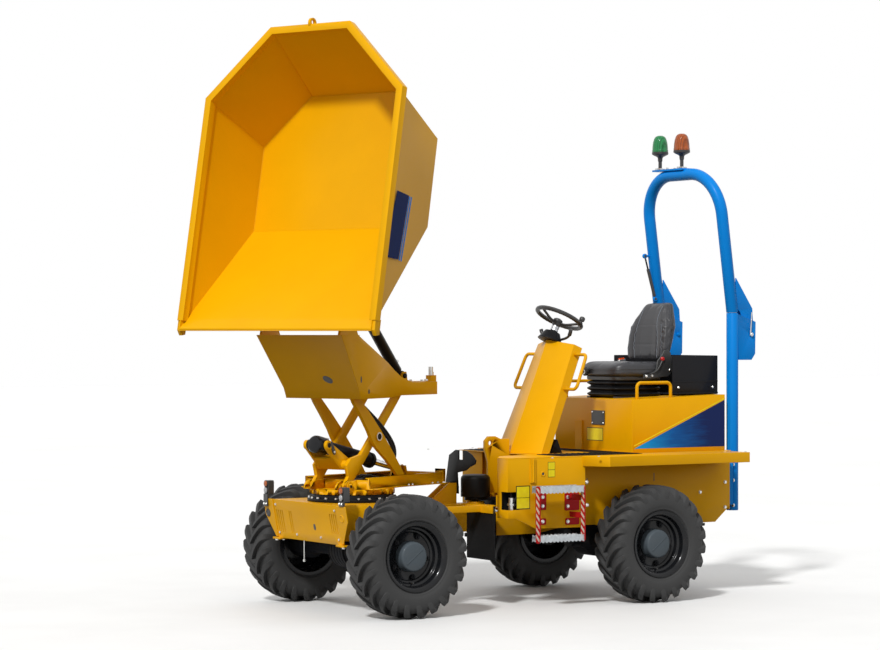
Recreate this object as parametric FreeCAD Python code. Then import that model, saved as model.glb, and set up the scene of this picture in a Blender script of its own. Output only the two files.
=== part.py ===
import FreeCAD, Part
import math
import os

# Articulated site dumper with a swivelling, high lifting skip.
# Lengths are millimetres and angles degrees. While it is modelled, X points forward, Y left and Z up,
# with X = 0 and Y = 0 on the steering pivot and Z = 0 on the ground. The last step moves everything so
# that the origin is the centre of the rear tow pin's bore.

# Overall sizes
WHEELBASE = 1866.0
TRACK = 1311.0
TYRE_OD = 760.0
TYRE_WIDTH = 262.0
RIM_FLANGE_R = 215.5
RIM_HALF_WIDTH = 118.0
PLATE = 10.0
SHEET = 5.0
FIT_GAP = 0.3
PIN_CLEAR = 0.05

# Rest pose
SLEW_REST = 22.0
TIP_REST = 79.0
LEG_REST = 46.0

# Wheels
RIM_SEAT_R = 190.0
RIM_WALL = 8.0
FLANGE_THICK = 10.0
NAVE_FACE = 10.0
NAVE_THICK = 12.0
HUB_CAP_R = 95.0
HUB_CAP_OUT = 96.0
AXLE_TUBE_R = 55.0
AXLE_HUB_R = 92.0
AXLE_HUB_INNER = 500.0
DIFF_R = 125.0
DIFF_LENGTH = 210.0

# Tread: how many lugs each half has, how deep they are, and how far an end lags behind the other
LUGS = 23
LUG_DEPTH = 27.0
LUG_INNER_Y = 6.0
LUG_LAG = 19.0
LUG_TIP_LAG = 22.5

# Front chassis
FRONT_PLATE_X = 1286.0
FRONT_PLATE_FOOT_X = 1240.0
CHASSIS_TOP = 686.0
CHASSIS_BOTTOM = 440.0
CHASSIS_HALF_WIDTH = 410.0
EAR_HALF_WIDTH = 490.0
EAR_HEIGHT = 62.0
CHASSIS_REAR_X = 560.0
SIDE_REAR_X = 640.0
BEAM_HALF_WIDTH = 100.0
BEAM_TOP = 640.0
BEAM_BOTTOM = 460.0
FLAP_X = 152.0
FLAP_THICK = 8.0
SLOT_HALF_WIDTH = 5.0
# Rows of upright cooling slots in the front plate, as first slot's Y, number of slots, lower and upper Z
SLOT_ROWS = [(298.0, 4, 511.0, 630.0), (-374.0, 4, 480.0, 620.0), (-214.0, 2, 480.0, 620.0)]
SLOT_PITCH = 24.0

# Latch plate that holds the swivel frame's tail
LATCH_X = 105.0
LATCH_FOOT = 700.0
LATCH_TOP = 985.0
NOTCH_HALF = 26.0
NOTCH_DEPTH = 62.0

# Steering ram
STEER_BASE_X = -500.0
STEER_BASE_Y = 335.0
STEER_LUG_X = 40.0
STEER_LUG_Y = 250.0
STEER_Z = 610.0
STEER_LUG_GAP = 16.0

# Steering pivot
PIVOT_HOUSING_R = 60.0
PIVOT_PIN_R = 30.0
YOKE_GAP = 8.0
YOKE_THICK = 22.0
YOKE_R = 72.0
DRUM_R = 96.0
DRUM_TOP = 824.0

# Slew ring and swivel frame
RING_R = 285.0
RING_TOP = 735.0
RING_GAP = 0.5
BASE_R = 270.0
RAIL_BOTTOM = 769.0
RAIL_TOP = 842.0
RAIL_FRONT_U = 160.0
RAIL_BEND_U = -240.0
RAIL_REAR_U = -700.0
RAIL_FRONT_V = 254.0
RAIL_REAR_V = 205.0

# Scissor legs
LEG_HALF_LENGTH = 420.0
LEG_THICK = 25.0
LEG_HALF_WIDTH = 28.0
LEG_END_R = 22.0
INNER_V = 125.0
OUTER_V = 155.0
FOOT_U = 237.0
FOOT_Z = 791.0
SCISSOR_PIN_R = 20.0
INNER_TUBE_ALONG = 120.0
INNER_TUBE_SIDE = 62.0
INNER_TUBE_R = 30.0
HORN_V = 78.0
HORN_THICK = 15.0
ROLLER_R = 15.0
ROLLER_GAP = 1.0

# Lift ram's pins, as places in the swivel frame's own plane
RAM_REAR_U = -500.0
RAM_REAR_Z = 866.0
RAM_FRONT_U = 355.0
RAM_FRONT_Z = 1050.0
RAM_PIN_R = 16.0
RAM_PIN_OUT = 26.0

# Top frame
TOP_FRONT_BOTTOM_U = 300.0
TOP_BEND_U = 322.0
TOP_BEND_Z = 1402.0
TOP_FRONT_TOP_U = 548.0
TOP_FRAME_BOTTOM = 1338.0
TOP_FRAME_TOP = 1736.0
TOP_REAR_U = -640.0
TOP_CHANNEL_TOP = 1432.0
TOP_CHANNEL_V = 205.0
TOP_FLARE_U = -250.0
TOP_FLARE_END_U = 560.0
TOP_FLARE_END_V = 338.0

# Skip hinge, and the skip in its own level frame: S rearward from the lip, D down from the rim
HINGE_U = 460.0
HINGE_Z = 1870.0
HINGE_S = 165.0
HINGE_D = 318.0
HINGE_PIN_R = 22.0
SKIP_LENGTH = 1911.0
SKIP_HALF_WIDTH = 752.0
SKIP_DEPTH = 530.0
SKIP_CHAMFER_S = 1487.0
SKIP_REAR_HALF = 303.0
FLOOR_FRONT_S = 745.0
FLOOR_HALF = 690.0
FLOOR_CHAMFER_S = 1305.0
FLOOR_REAR_S = 1630.0
SKIP_WALL = 6.0
RIM_BAR_WIDTH = 46.0
RIM_BAR_DEPTH = 50.0
LIP_BAR = 20.0
LIFT_EYE_R = 16.0

# Tip ram: its base pin on the top frame and its lug under the skip
TIP_BASE_U = -500.0
TIP_BASE_Z = 1470.0
TIP_LUG_S = 565.0
TIP_LUG_D = 510.0

# Rear body
BODY_HALF_WIDTH = 600.0
INNER_HALF_WIDTH = 460.0
DECK_TOP = 957.0
NOSE_X = 148.0
CHEEK_INNER = 480.0
RIGHT_CHEEK_X = -290.0
CROSS_X = -320.0
CHEEK_REAR_X = -450.0
ARCH_FRONT_X = -556.0
BODY_REAR_X = -1745.0
FENDER_HALF_WIDTH = 770.0
FENDER_FRONT_X = -430.0
FENDER_FLARE_X = -524.0
FENDER_REAR_X = -1668.0
VALANCE = 66.0
DECK_NOTCH_X = -260.0
DECK_NOTCH_HALF = 250.0

# Seat box, seat, console and steering wheel
BOX_FRONT_X = -944.0
BOX_REAR_X = -1720.0
BOX_HALF_WIDTH = 440.0
BOX_TOP = 1332.0
BOX_FALL = 25.0
CONSOLE_FOOT_X = -342.0
CONSOLE_TOP_X = -641.0
CONSOLE_TOP_Z = 1672.0
CONSOLE_FOOT_HALF = 258.0
CONSOLE_TOP_HALF = 209.0
CONSOLE_SIDE = 62.0
CONSOLE_PROW = 72.0
CONSOLE_SLOPE = 0.42
CUSHION_TOP = 1555.0
WHEEL_X = -668.0
WHEEL_Z = 1845.0
WHEEL_TILT = 27.0
WHEEL_RING_R = 155.0
WHEEL_TUBE_R = 13.0

# Grab handles and the step
HANDLE_R = 11.0
HANDLE_BEND = 32.0
HANDLE_SEAT = -2.0
HANDLE_REACH = 128.0
STEP_FRONT_X = 20.0
STEP_REAR_X = -332.0
STEP_OUT = 170.0

# Roll bar
POST_X = -1812.0
POST_Y = 404.0
POST_R = 40.0
POST_WALL = 5.0
POST_FOOT_Z = 549.0
SPLIT_Z = 1881.0
HOOP_LEAN = 7.6
HOOP_RISE = 955.0
HOOP_BEND_R = 290.0
ROPS_PIN_X = -1948.0
ROPS_PIN_Z = 1735.0
BEACON_Y = (-232.0, 12.0)

# Tow hitch
TOW_PIN_X = -1842.0
TOW_PIN_Z = 470.0
TOW_PIN_BORE_R = 14.0

AXLE_Z = TYRE_OD / 2
FRONT_AXLE_X = WHEELBASE / 2
REAR_AXLE_X = -WHEELBASE / 2


def vec(x, y, z):
    return FreeCAD.Vector(x, y, z)


def block(x0, x1, y0, y1, z0, z1):
    """A box between two corners."""
    return Part.makeBox(x1 - x0, y1 - y0, z1 - z0, vec(x0, y0, z0))


def rod(start, end, radius):
    """A round bar between two points."""
    axis = end - start
    return Part.makeCylinder(radius, axis.Length, start, axis)


def ring(start, end, radius, bore):
    """A round bar with a hole along it."""
    return rod(start, end, radius).cut(rod(start, end, bore))


def prism_y(outline, y0, y1):
    """A plate cut to an outline of (x, z) corners, between two places along Y."""
    wire = Part.makePolygon([vec(x, y0, z) for x, z in outline + outline[:1]])
    return Part.Face(wire).extrude(vec(0, y1 - y0, 0))


def prism_z(outline, z0, z1):
    """A plate cut to an outline of (x, y) corners, between two heights."""
    wire = Part.makePolygon([vec(x, y, z0) for x, y in outline + outline[:1]])
    return Part.Face(wire).extrude(vec(0, 0, z1 - z0))


def prism_x(outline, x0, x1):
    """A plate cut to an outline of (y, z) corners, between two places along X."""
    wire = Part.makePolygon([vec(x0, y, z) for y, z in outline + outline[:1]])
    return Part.Face(wire).extrude(vec(x1 - x0, 0, 0))


def flat(corners):
    """Whether four corners lie in one plane."""
    normal = (corners[1] - corners[0]).cross(corners[2] - corners[0])
    return abs(normal.normalize().dot(corners[3] - corners[0])) < 1e-7


def hull(lower, upper):
    """A solid between two outlines with as many corners each, its twisted sides split in two."""
    count = len(lower)
    rings = [lower, upper]
    for i in range(count):
        j = (i + 1) % count
        side = [lower[i], lower[j], upper[j], upper[i]]
        if flat(side):
            rings.append(side)
        else:
            rings += [side[:3], [side[0], side[2], side[3]]]
    faces = [Part.Face(Part.makePolygon(corners + corners[:1])) for corners in rings]
    solid = Part.makeSolid(Part.makeShell(faces))
    if solid.Volume < 0:
        solid.reverse()
    return solid


def fuse(shapes):
    """All shapes as one, with merged faces."""
    whole = shapes[0]
    if len(shapes) > 1:
        whole = whole.fuse(shapes[1:])
    return whole.removeSplitter()


def both_sides(shape):
    """The shape and its mirror image across the centre plane."""
    return [shape, shape.mirror(vec(0, 0, 0), vec(0, 1, 0))]


def turn(shape, centre, axis, angle):
    """A copy turned about a line."""
    copy = shape.copy()
    copy.rotate(centre, axis, angle)
    return copy


def bent_tube(points, bends, radius, bore=0.0):
    """A tube along straight runs that are joined by tangent arcs of the given radii."""
    edges = []
    start = points[0]
    for i in range(1, len(points) - 1):
        before = (points[i - 1] - points[i]).normalize()
        after = (points[i + 1] - points[i]).normalize()
        half = before.getAngle(after) / 2
        reach = bends[i - 1] / math.tan(half)
        first = points[i] + before * reach
        last = points[i] + after * reach
        middle_line = (before + after).normalize()
        middle = points[i] + middle_line * (bends[i - 1] / math.sin(half) - bends[i - 1])
        if (first - start).Length > 1e-6:
            edges.append(Part.LineSegment(start, first).toShape())
        edges.append(Part.Arc(first, middle, last).toShape())
        start = last
    edges.append(Part.LineSegment(start, points[-1]).toShape())
    path = Part.Wire(edges)
    direction = points[1] - points[0]
    outer = Part.Wire(Part.makeCircle(radius, points[0], direction))
    tube = path.makePipeShell([outer], True, False)
    if bore > 0:
        inner = Part.Wire(Part.makeCircle(bore, points[0], direction))
        tube = tube.cut(path.makePipeShell([inner], True, False))
    return tube


def revolve_y(profile):
    """A turned part about the Y axis from (y, radius) corners."""
    wire = Part.makePolygon([vec(radius, y, 0) for y, radius in profile + profile[:1]])
    return Part.Face(wire).revolve(vec(0, 0, 0), vec(0, 1, 0), 360)


def leg_point(foot, along, side, angle, direction):
    """A point on a scissor leg, measured along it from its foot and off it to its upper side."""
    c = math.cos(math.radians(angle))
    s = math.sin(math.radians(angle))
    return (foot[0] + direction * (along * c) - direction * side * s, foot[1] + along * s + side * c)


# Points of the scissor at rest, as (u, z) in the swivel frame's own plane
LEG_RUN = LEG_HALF_LENGTH * math.cos(math.radians(LEG_REST))
LEG_RISE = LEG_HALF_LENGTH * math.sin(math.radians(LEG_REST))
FOOT = (FOOT_U, FOOT_Z)
CENTRE = (FOOT_U - LEG_RUN, FOOT_Z + LEG_RISE)
ROLLER = (FOOT_U - 2 * LEG_RUN, FOOT_Z)
TOP_PIN = (FOOT_U, FOOT_Z + 2 * LEG_RISE)
TOP_ROLLER = (FOOT_U - 2 * LEG_RUN, FOOT_Z + 2 * LEG_RISE)


def to_slew(shape):
    """Place a shape that was built about the slew axis, turned to its rest angle."""
    copy = shape.copy()
    copy.rotate(vec(0, 0, 0), vec(0, 0, 1), SLEW_REST)
    copy.translate(vec(FRONT_AXLE_X, 0, 0))
    return copy


def tread_point(side, y, radius, angle):
    """A point on the tyre: side is 1 or -1, y is outward, and the angle runs forward from the top."""
    a = math.radians(angle)
    return vec(radius * math.sin(a), side * y, radius * math.cos(a))


def tread_half(side):
    """One half's corners, lug by lug: four at each station of a lug, then two at each ring to the seat."""
    pitch = 360.0 / LUGS
    crown = TYRE_OD / 2 - LUG_DEPTH
    bead = RIM_HALF_WIDTH - FLANGE_THICK - FIT_GAP
    # The seat's flats, and not its corners, keep the fit gap to the round rim
    seat = (RIM_SEAT_R + FIT_GAP) / math.cos(math.radians(pitch / 4))
    # Stations as (y, radius of foot, radius of top, lag in degrees, half width of foot, half width of top)
    stations = [(LUG_INNER_Y, crown, TYRE_OD / 2, 0, 20, 14),
                (TYRE_WIDTH / 2 - 23, crown - 15, TYRE_OD / 2 - 10, LUG_LAG, 24, 17),
                (TYRE_WIDTH / 2, crown - 55, crown - 55, LUG_TIP_LAG, 15, 15)]
    rings = [(bead + 6.3, RIM_FLANGE_R + 10), (bead, RIM_FLANGE_R + 2), (bead, seat)]
    half = []
    for k in range(LUGS):
        middle = (k if side > 0 else k + 0.5) * pitch
        lug = []
        for y, low, high, lag, foot, top in stations:
            at = middle - lag
            spread = math.degrees(foot / low)
            splay = math.degrees(top / high)
            lug.append([tread_point(side, y, low, at - spread), tread_point(side, y, high, at - splay),
                        tread_point(side, y, high, at + splay), tread_point(side, y, low, at + spread)])
        for y, radius in rings:
            at = middle - LUG_TIP_LAG
            lug.append([tread_point(side, y, radius, at + step) for step in (-pitch / 4, pitch / 4)])
        half.append(lug)
    return half


def half_faces(half, side):
    """Faces of one half of the tyre, with the corners of the right half's turned over."""
    faces = []
    for k, lug in enumerate(half):
        start, shoulder, tip = lug[:3]
        after = half[(k + 1) % LUGS]
        # Walls and top of the lug, the carcass up to the next one, and the lug's inner end
        for i in range(3):
            faces.append([start[i], start[i + 1], shoulder[i + 1], shoulder[i]])
        faces.append([start[3], after[0][0], after[1][0], shoulder[3]])
        faces.append([start[0], start[3], start[2], start[1]])
        faces.append([shoulder[0], shoulder[1], tip[0]])
        faces.append([shoulder[1], shoulder[2], tip[3], tip[0]])
        faces.append([shoulder[2], shoulder[3], tip[3]])
        faces.append([shoulder[3], after[1][0], after[2][0], tip[3]])
        # Sidewall, flange seat and bead
        levels = [[tip[0], tip[3], after[2][0]]]
        levels += [[ring_now[0], ring_now[1], ring_next[0]] for ring_now,
                   ring_next in zip(lug[3:], after[3:])]
        for upper, lower in zip(levels, levels[1:]):
            faces.append([upper[0], upper[1], lower[1], lower[0]])
            faces.append([upper[1], upper[2], lower[2], lower[1]])
    if side < 0:
        faces = [list(reversed(corners)) for corners in faces]
    return faces


def joining_faces(left, right):
    """The strips that join the halves: along the crown's middle and along the seat on the rim."""
    faces = []
    for k in range(LUGS):
        low, low_next = left[k][0], left[(k + 1) % LUGS][0]
        before, across = right[k - 1][0], right[k][0]
        faces.append([before[3], low[3], low[0]])
        faces.append([before[3], across[0], low[3]])
        faces.append([across[0], low_next[0], low[3]])
        faces.append([across[0], across[3], low_next[0]])
        seat, seat_next = left[k][-1], left[(k + 1) % LUGS][-1]
        faces.append([seat[0], seat[1], right[k][-1][0], right[k - 1][-1][1]])
        faces.append([seat[1], seat_next[0], right[k][-1][1], right[k][-1][0]])
    return faces


def tyre():
    """One tyre about the Y axis: a faceted carcass whose two rows of lugs meet in a chevron."""
    left = tread_half(1)
    right = tread_half(-1)
    split = []
    for corners in half_faces(left, 1) + half_faces(right, -1) + joining_faces(left, right):
        split += [[corners[0], corners[i], corners[i + 1]] for i in range(1, len(corners) - 1)]
    shell = Part.makeShell([Part.Face(Part.makePolygon(corners + corners[:1])) for corners in split])
    solid = Part.makeSolid(shell)
    if solid.Volume < 0:
        solid.reverse()
    return solid


def rim():
    """One wheel centre about the Y axis, its dished face and hub cap towards +Y."""
    inner = RIM_SEAT_R - RIM_WALL
    nave = NAVE_FACE + NAVE_THICK
    half = RIM_HALF_WIDTH
    lip = half - FLANGE_THICK
    # Corners as (y, radius), round the outside first and back along the stepped dish
    profile = [(-half, inner), (-half, RIM_FLANGE_R), (-lip, RIM_FLANGE_R), (-lip, RIM_SEAT_R),
               (lip, RIM_SEAT_R), (lip, RIM_FLANGE_R), (half, RIM_FLANGE_R), (half, inner),
               (72, inner), (66, inner - 14), (44, inner - 16), (38, inner - 30), (nave, inner - 32),
               (nave, HUB_CAP_R), (HUB_CAP_OUT - 8, HUB_CAP_R - 4), (HUB_CAP_OUT, HUB_CAP_R - 14),
               (HUB_CAP_OUT, 0), (NAVE_FACE, 0), (NAVE_FACE, inner)]
    return revolve_y(profile)


def wheels():
    """The four tyres and their rims, each with its dish outward."""
    made = {}
    places = [("front_left", FRONT_AXLE_X, 1), ("front_right", FRONT_AXLE_X, -1),
              ("rear_left", REAR_AXLE_X, 1), ("rear_right", REAR_AXLE_X, -1)]
    for name, x, side in places:
        for kind, shape in (("tyre", tyre()), ("rim", rim())):
            if side < 0:
                shape = shape.mirror(vec(0, 0, 0), vec(0, 1, 0))
            shape.translate(vec(x, side * TRACK / 2, AXLE_Z))
            made[kind + "_" + name] = shape
    return made


def axle(x, saddle_top):
    """A driven axle: tube, differential, hub ends and the saddles that bolt it up."""
    hub_end = TRACK / 2 + NAVE_FACE - FIT_GAP
    parts = [rod(vec(x, -AXLE_HUB_INNER, AXLE_Z), vec(x, AXLE_HUB_INNER, AXLE_Z), AXLE_TUBE_R)]
    casing = rod(vec(x, -DIFF_LENGTH / 2, AXLE_Z), vec(x, DIFF_LENGTH / 2, AXLE_Z), DIFF_R)
    parts.append(casing.makeChamfer(28, [edge for edge in casing.Edges if edge.Closed]))
    inward = -1 if x > 0 else 1
    parts.append(rod(vec(x, 0, AXLE_Z), vec(x + inward * (DIFF_R + 70), 0, AXLE_Z), 62))
    for hub in both_sides(rod(vec(x, AXLE_HUB_INNER, AXLE_Z), vec(x, hub_end, AXLE_Z), AXLE_HUB_R)):
        parts.append(hub)
    for saddle in both_sides(block(x - 70, x + 70, 190, 300, AXLE_Z, saddle_top - FIT_GAP)):
        parts.append(saddle)
    return fuse(parts)


def front_chassis():
    """The welded front frame: sloped front plate, sides, top, axle beam and pivot housing."""
    top_inner = CHASSIS_TOP - PLATE
    slope = (FRONT_PLATE_X - FRONT_PLATE_FOOT_X) / (CHASSIS_TOP - CHASSIS_BOTTOM)
    ear_foot = CHASSIS_TOP - EAR_HEIGHT
    # Front plate corners as (y, z), left half only
    left = [(EAR_HALF_WIDTH, CHASSIS_TOP), (EAR_HALF_WIDTH, ear_foot),
            (CHASSIS_HALF_WIDTH + 12, CHASSIS_BOTTOM + 70), (CHASSIS_HALF_WIDTH, CHASSIS_BOTTOM)]
    right = [(-y, z) for y, z in reversed(left)]
    plate = prism_x(left + right, FRONT_PLATE_X - PLATE, FRONT_PLATE_X)
    shear = FreeCAD.Matrix()
    shear.A13 = slope
    shear.A14 = -slope * CHASSIS_TOP
    plate = plate.transformGeometry(shear)
    for y in (-EAR_HALF_WIDTH + 32, EAR_HALF_WIDTH - 32):
        z = ear_foot + 26
        plate = plate.cut(rod(vec(FRONT_AXLE_X, y, z), vec(FRONT_PLATE_X + PLATE, y, z), 15))
    for first, count, low, high in SLOT_ROWS:
        for k in range(count):
            y = first + k * SLOT_PITCH
            slot = block(FRONT_PLATE_FOOT_X - 60, FRONT_PLATE_X + PLATE, y - SLOT_HALF_WIDTH,
                         y + SLOT_HALF_WIDTH,
                         low, high)
            plate = plate.cut(slot)
    parts = [plate]
    foot_x = FRONT_PLATE_FOOT_X - 4
    side = [(SIDE_REAR_X, CHASSIS_TOP), (FRONT_PLATE_X - PLATE, CHASSIS_TOP), (foot_x, CHASSIS_BOTTOM + 26),
            (FRONT_AXLE_X + 130, CHASSIS_BOTTOM + 26), (FRONT_AXLE_X + 60, CHASSIS_BOTTOM + 110),
            (FRONT_AXLE_X - 60, CHASSIS_BOTTOM + 110), (FRONT_AXLE_X - 130, CHASSIS_BOTTOM + 26),
            (SIDE_REAR_X, CHASSIS_BOTTOM + 60)]
    y_side = CHASSIS_HALF_WIDTH
    parts += both_sides(prism_y(side, y_side - PLATE, y_side))
    parts.append(block(SIDE_REAR_X, FRONT_PLATE_X - PLATE, -y_side, y_side, top_inner, CHASSIS_TOP))
    parts.append(block(SIDE_REAR_X, SIDE_REAR_X + PLATE, -y_side, y_side, CHASSIS_BOTTOM + 60, CHASSIS_TOP))
    saddle_top = AXLE_Z + AXLE_TUBE_R + 20
    web = [(CHASSIS_REAR_X, BEAM_BOTTOM), (FRONT_AXLE_X + 200, saddle_top),
           (FRONT_PLATE_FOOT_X, saddle_top + 30),
           (FRONT_PLATE_X - PLATE, top_inner), (CHASSIS_REAR_X, BEAM_TOP)]
    parts += both_sides(prism_y(web, 230, 250))
    parts += both_sides(block(FRONT_AXLE_X - 90, FRONT_AXLE_X + 90, 170, 310, saddle_top, saddle_top + 14))
    # Rear beam in plan: wide at the chassis, narrow at the pivot
    beam = [(0, BEAM_HALF_WIDTH - 48), (300, BEAM_HALF_WIDTH), (SIDE_REAR_X + PLATE, 260),
            (SIDE_REAR_X + PLATE, -260), (300, -BEAM_HALF_WIDTH), (0, 48 - BEAM_HALF_WIDTH)]
    parts.append(prism_z(beam, BEAM_BOTTOM, BEAM_TOP))
    parts.append(rod(vec(0, 0, BEAM_BOTTOM - 10), vec(0, 0, BEAM_TOP + 10), PIVOT_HOUSING_R))
    # Flap arms and the latch plate's pedestal
    parts += both_sides(block(FLAP_X + FLAP_THICK, SIDE_REAR_X + PLATE, 280, 320, 604, 644))
    parts += both_sides(block(FLAP_X + FLAP_THICK, FLAP_X + FLAP_THICK + 8, 150, 450, 600, 648))
    pedestal = [(LATCH_X + PLATE, BEAM_TOP - 30), (330, BEAM_TOP - 30), (330, BEAM_TOP + 8),
                (LATCH_X + PLATE + 60, LATCH_FOOT + 70), (LATCH_X + PLATE, LATCH_FOOT + 70)]
    parts += [prism_y(pedestal, y, y + 12) for y in (-60, -132)]
    parts.append(block(LATCH_X + PLATE, 330, -132, -48, BEAM_TOP - 30, BEAM_TOP - 18))
    parts += both_sides(block(FRONT_PLATE_FOOT_X - 52, FRONT_PLATE_FOOT_X + 20, y_side - 60, y_side + 36,
                              CHASSIS_BOTTOM - 10, CHASSIS_BOTTOM + 2))
    # Steering arm: two lug plates that take the steering ram's eye between them
    arm = [(18, 50), (STEER_LUG_X - 28, STEER_LUG_Y), (STEER_LUG_X + 28, STEER_LUG_Y + 4), (130, 60)]
    for z0 in (STEER_Z - STEER_LUG_GAP - 12, STEER_Z + STEER_LUG_GAP):
        parts.append(prism_z(arm, z0, z0 + 12))
        parts.append(rod(vec(STEER_LUG_X, STEER_LUG_Y, z0), vec(STEER_LUG_X, STEER_LUG_Y, z0 + 12), 28))
    frame = fuse(parts)
    return frame.cut(rod(vec(0, 0, 0), vec(0, 0, DRUM_TOP), PIVOT_PIN_R + PIN_CLEAR))


def latch_plate():
    """The upright black plate whose top notch takes the swivel frame's tail when the skip is down."""
    top = LATCH_TOP
    outline = [(-200, LATCH_FOOT), (-142, top - 36), (-66, top), (-NOTCH_HALF, top),
               (-NOTCH_HALF, top - NOTCH_DEPTH),
               (NOTCH_HALF, top - NOTCH_DEPTH), (NOTCH_HALF, top), (70, top - 4), (128, top - 26),
               (176, top - 62),
               (166, top - 86), (104, top - 106), (60, top - 130), (-44, top - 148), (-30, LATCH_FOOT)]
    return prism_x(outline, LATCH_X, LATCH_X + PLATE - FIT_GAP)


def mud_flaps():
    """Two rubber flaps behind the front wheels."""
    return Part.makeCompound(both_sides(block(FLAP_X, FLAP_X + FLAP_THICK - FIT_GAP, 140, 460, 300, 646)))


def front_lamps():
    """Two lamp bodies with round lenses on the front plate's ears."""
    lamps = []
    foot = CHASSIS_TOP + FIT_GAP
    for side in (-1, 1):
        y = side * (EAR_HALF_WIDTH - 32)
        x = FRONT_PLATE_X - PLATE
        stalk = block(x, x + PLATE, y - 26, y + 26, foot, foot + 30)
        body = block(x - 34, x + 8, y - 26, y + 26, foot + 26, foot + 120)
        lens_low = rod(vec(x + 6, y, foot + 52), vec(x + 22, y, foot + 52), 22)
        lens_high = rod(vec(x + 6, y, foot + 95), vec(x + 22, y, foot + 95), 22)
        lamps.append(fuse([stalk, body, lens_low, lens_high]))
    return Part.makeCompound(lamps)


def slew_ring():
    """The fixed ring of the slewing bearing on the front chassis."""
    low = vec(FRONT_AXLE_X, 0, CHASSIS_TOP + FIT_GAP)
    step = vec(FRONT_AXLE_X, 0, CHASSIS_TOP + 22)
    high = vec(FRONT_AXLE_X, 0, RING_TOP)
    flange = ring(low, step, RING_R, RING_R - 120)
    return fuse([flange, ring(step, high, RING_R - 22, RING_R - 120)])


def rail_outline(offset):
    """Left rail's side in plan, moved inward by an offset, as (u, v) corners from front to rear."""
    return [(RAIL_FRONT_U, RAIL_FRONT_V - offset), (RAIL_BEND_U, RAIL_REAR_V - offset),
            (RAIL_REAR_U, RAIL_REAR_V - offset)]


def swivel_frame():
    """The frame on the slew ring: base disc, two rails, leg feet and the lift ram's rear lugs."""
    bottom = RING_TOP + RING_GAP
    parts = [rod(vec(0, 0, bottom), vec(0, 0, RAIL_BOTTOM), BASE_R)]
    web = rail_outline(0) + list(reversed(rail_outline(PLATE)))
    parts += both_sides(prism_z(web, RAIL_BOTTOM, RAIL_TOP))
    flange = rail_outline(0) + list(reversed(rail_outline(PLATE + 20)))
    parts += both_sides(prism_z(flange, RAIL_BOTTOM, RAIL_BOTTOM + 6))
    parts += both_sides(prism_z(flange, RAIL_TOP - 6, RAIL_TOP))
    foot_flange = [(u, v + 30) for u, v in rail_outline(0)] + list(reversed(rail_outline(PLATE)))
    parts += both_sides(prism_z(foot_flange, RAIL_BOTTOM, RAIL_BOTTOM + 6))
    front = RAIL_FRONT_U
    parts.append(block(front - PLATE, front, -100, 100, RAIL_BOTTOM, RAIL_TOP - 14))
    parts += both_sides(block(front - PLATE, front, 150, RAIL_FRONT_V, RAIL_BOTTOM, RAIL_TOP - 14))
    parts.append(block(RAIL_REAR_U, RAIL_REAR_U + PLATE, -RAIL_REAR_V, RAIL_REAR_V, RAIL_BOTTOM, RAIL_TOP))
    parts.append(block(RAIL_REAR_U, -180, -88, 88, RAIL_BOTTOM, RAIL_BOTTOM + 8))
    # Ears of the inner legs' feet, in front of the cross plate
    ear_top = FOOT_Z + 34
    for inner_face, outer_face in ((92, 106), (144, 158)):
        ear = [(front - PLATE, RAIL_BOTTOM), (FOOT_U + 58, RAIL_BOTTOM), (FOOT_U + 66, FOOT_Z - 4),
               (FOOT_U + 46, ear_top - 14), (FOOT_U + 16, ear_top), (FOOT_U - 30, ear_top),
               (front - PLATE, RAIL_TOP - 14)]
        parts += both_sides(prism_y(ear, inner_face, outer_face))
    pin = rod(vec(FOOT_U, 92, FOOT_Z), vec(FOOT_U, 166, FOOT_Z), SCISSOR_PIN_R)
    parts += both_sides(pin)
    # Rear lugs of the lift ram
    lug = [(RAM_REAR_U - 60, RAIL_BOTTOM + 4), (RAM_REAR_U + 70, RAIL_BOTTOM + 4),
           (RAM_REAR_U + 26, RAM_REAR_Z + 22), (RAM_REAR_U - 26, RAM_REAR_Z + 22)]
    parts += both_sides(prism_y(lug, 26, 38))
    parts += both_sides(block(RAIL_REAR_U - 12, RAIL_REAR_U + 2, RAIL_REAR_V - 60, RAIL_REAR_V + 14,
                              RAIL_BOTTOM + 10, RAIL_TOP + 22))
    return to_slew(fuse(parts))


def leg_plate(foot, direction, v_mid, bulge):
    """A flat scissor leg with round ends and a wider part that carries its cross tube."""
    length = 2 * LEG_HALF_LENGTH
    half = LEG_HALF_WIDTH
    end = LEG_END_R
    # Outline as (along, side) with the lower side first
    outline = [(0, -end), (90, -half), (length - 90, -half), (length, -end), (length, end),
               (length - 90, half)]
    outline += bulge
    outline += [(90, half), (0, end)]
    corners = [leg_point(foot, along, side, LEG_REST, direction) for along, side in outline]
    plate = prism_y(corners, v_mid - LEG_THICK / 2, v_mid + LEG_THICK / 2)
    parts = [plate]
    for along in (0, length):
        u, z = leg_point(foot, along, 0, LEG_REST, direction)
        parts.append(rod(vec(u, v_mid - LEG_THICK / 2, z), vec(u, v_mid + LEG_THICK / 2, z), end))
    return fuse(parts)


def roller(u, z, v_from, v_to, v_roller):
    """A pin that reaches out to a roller in a channel."""
    return fuse([rod(vec(u, v_from, z), vec(u, v_to, z), 11),
                 rod(vec(u, v_roller, z), vec(u, v_to, z), ROLLER_R)])


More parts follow.
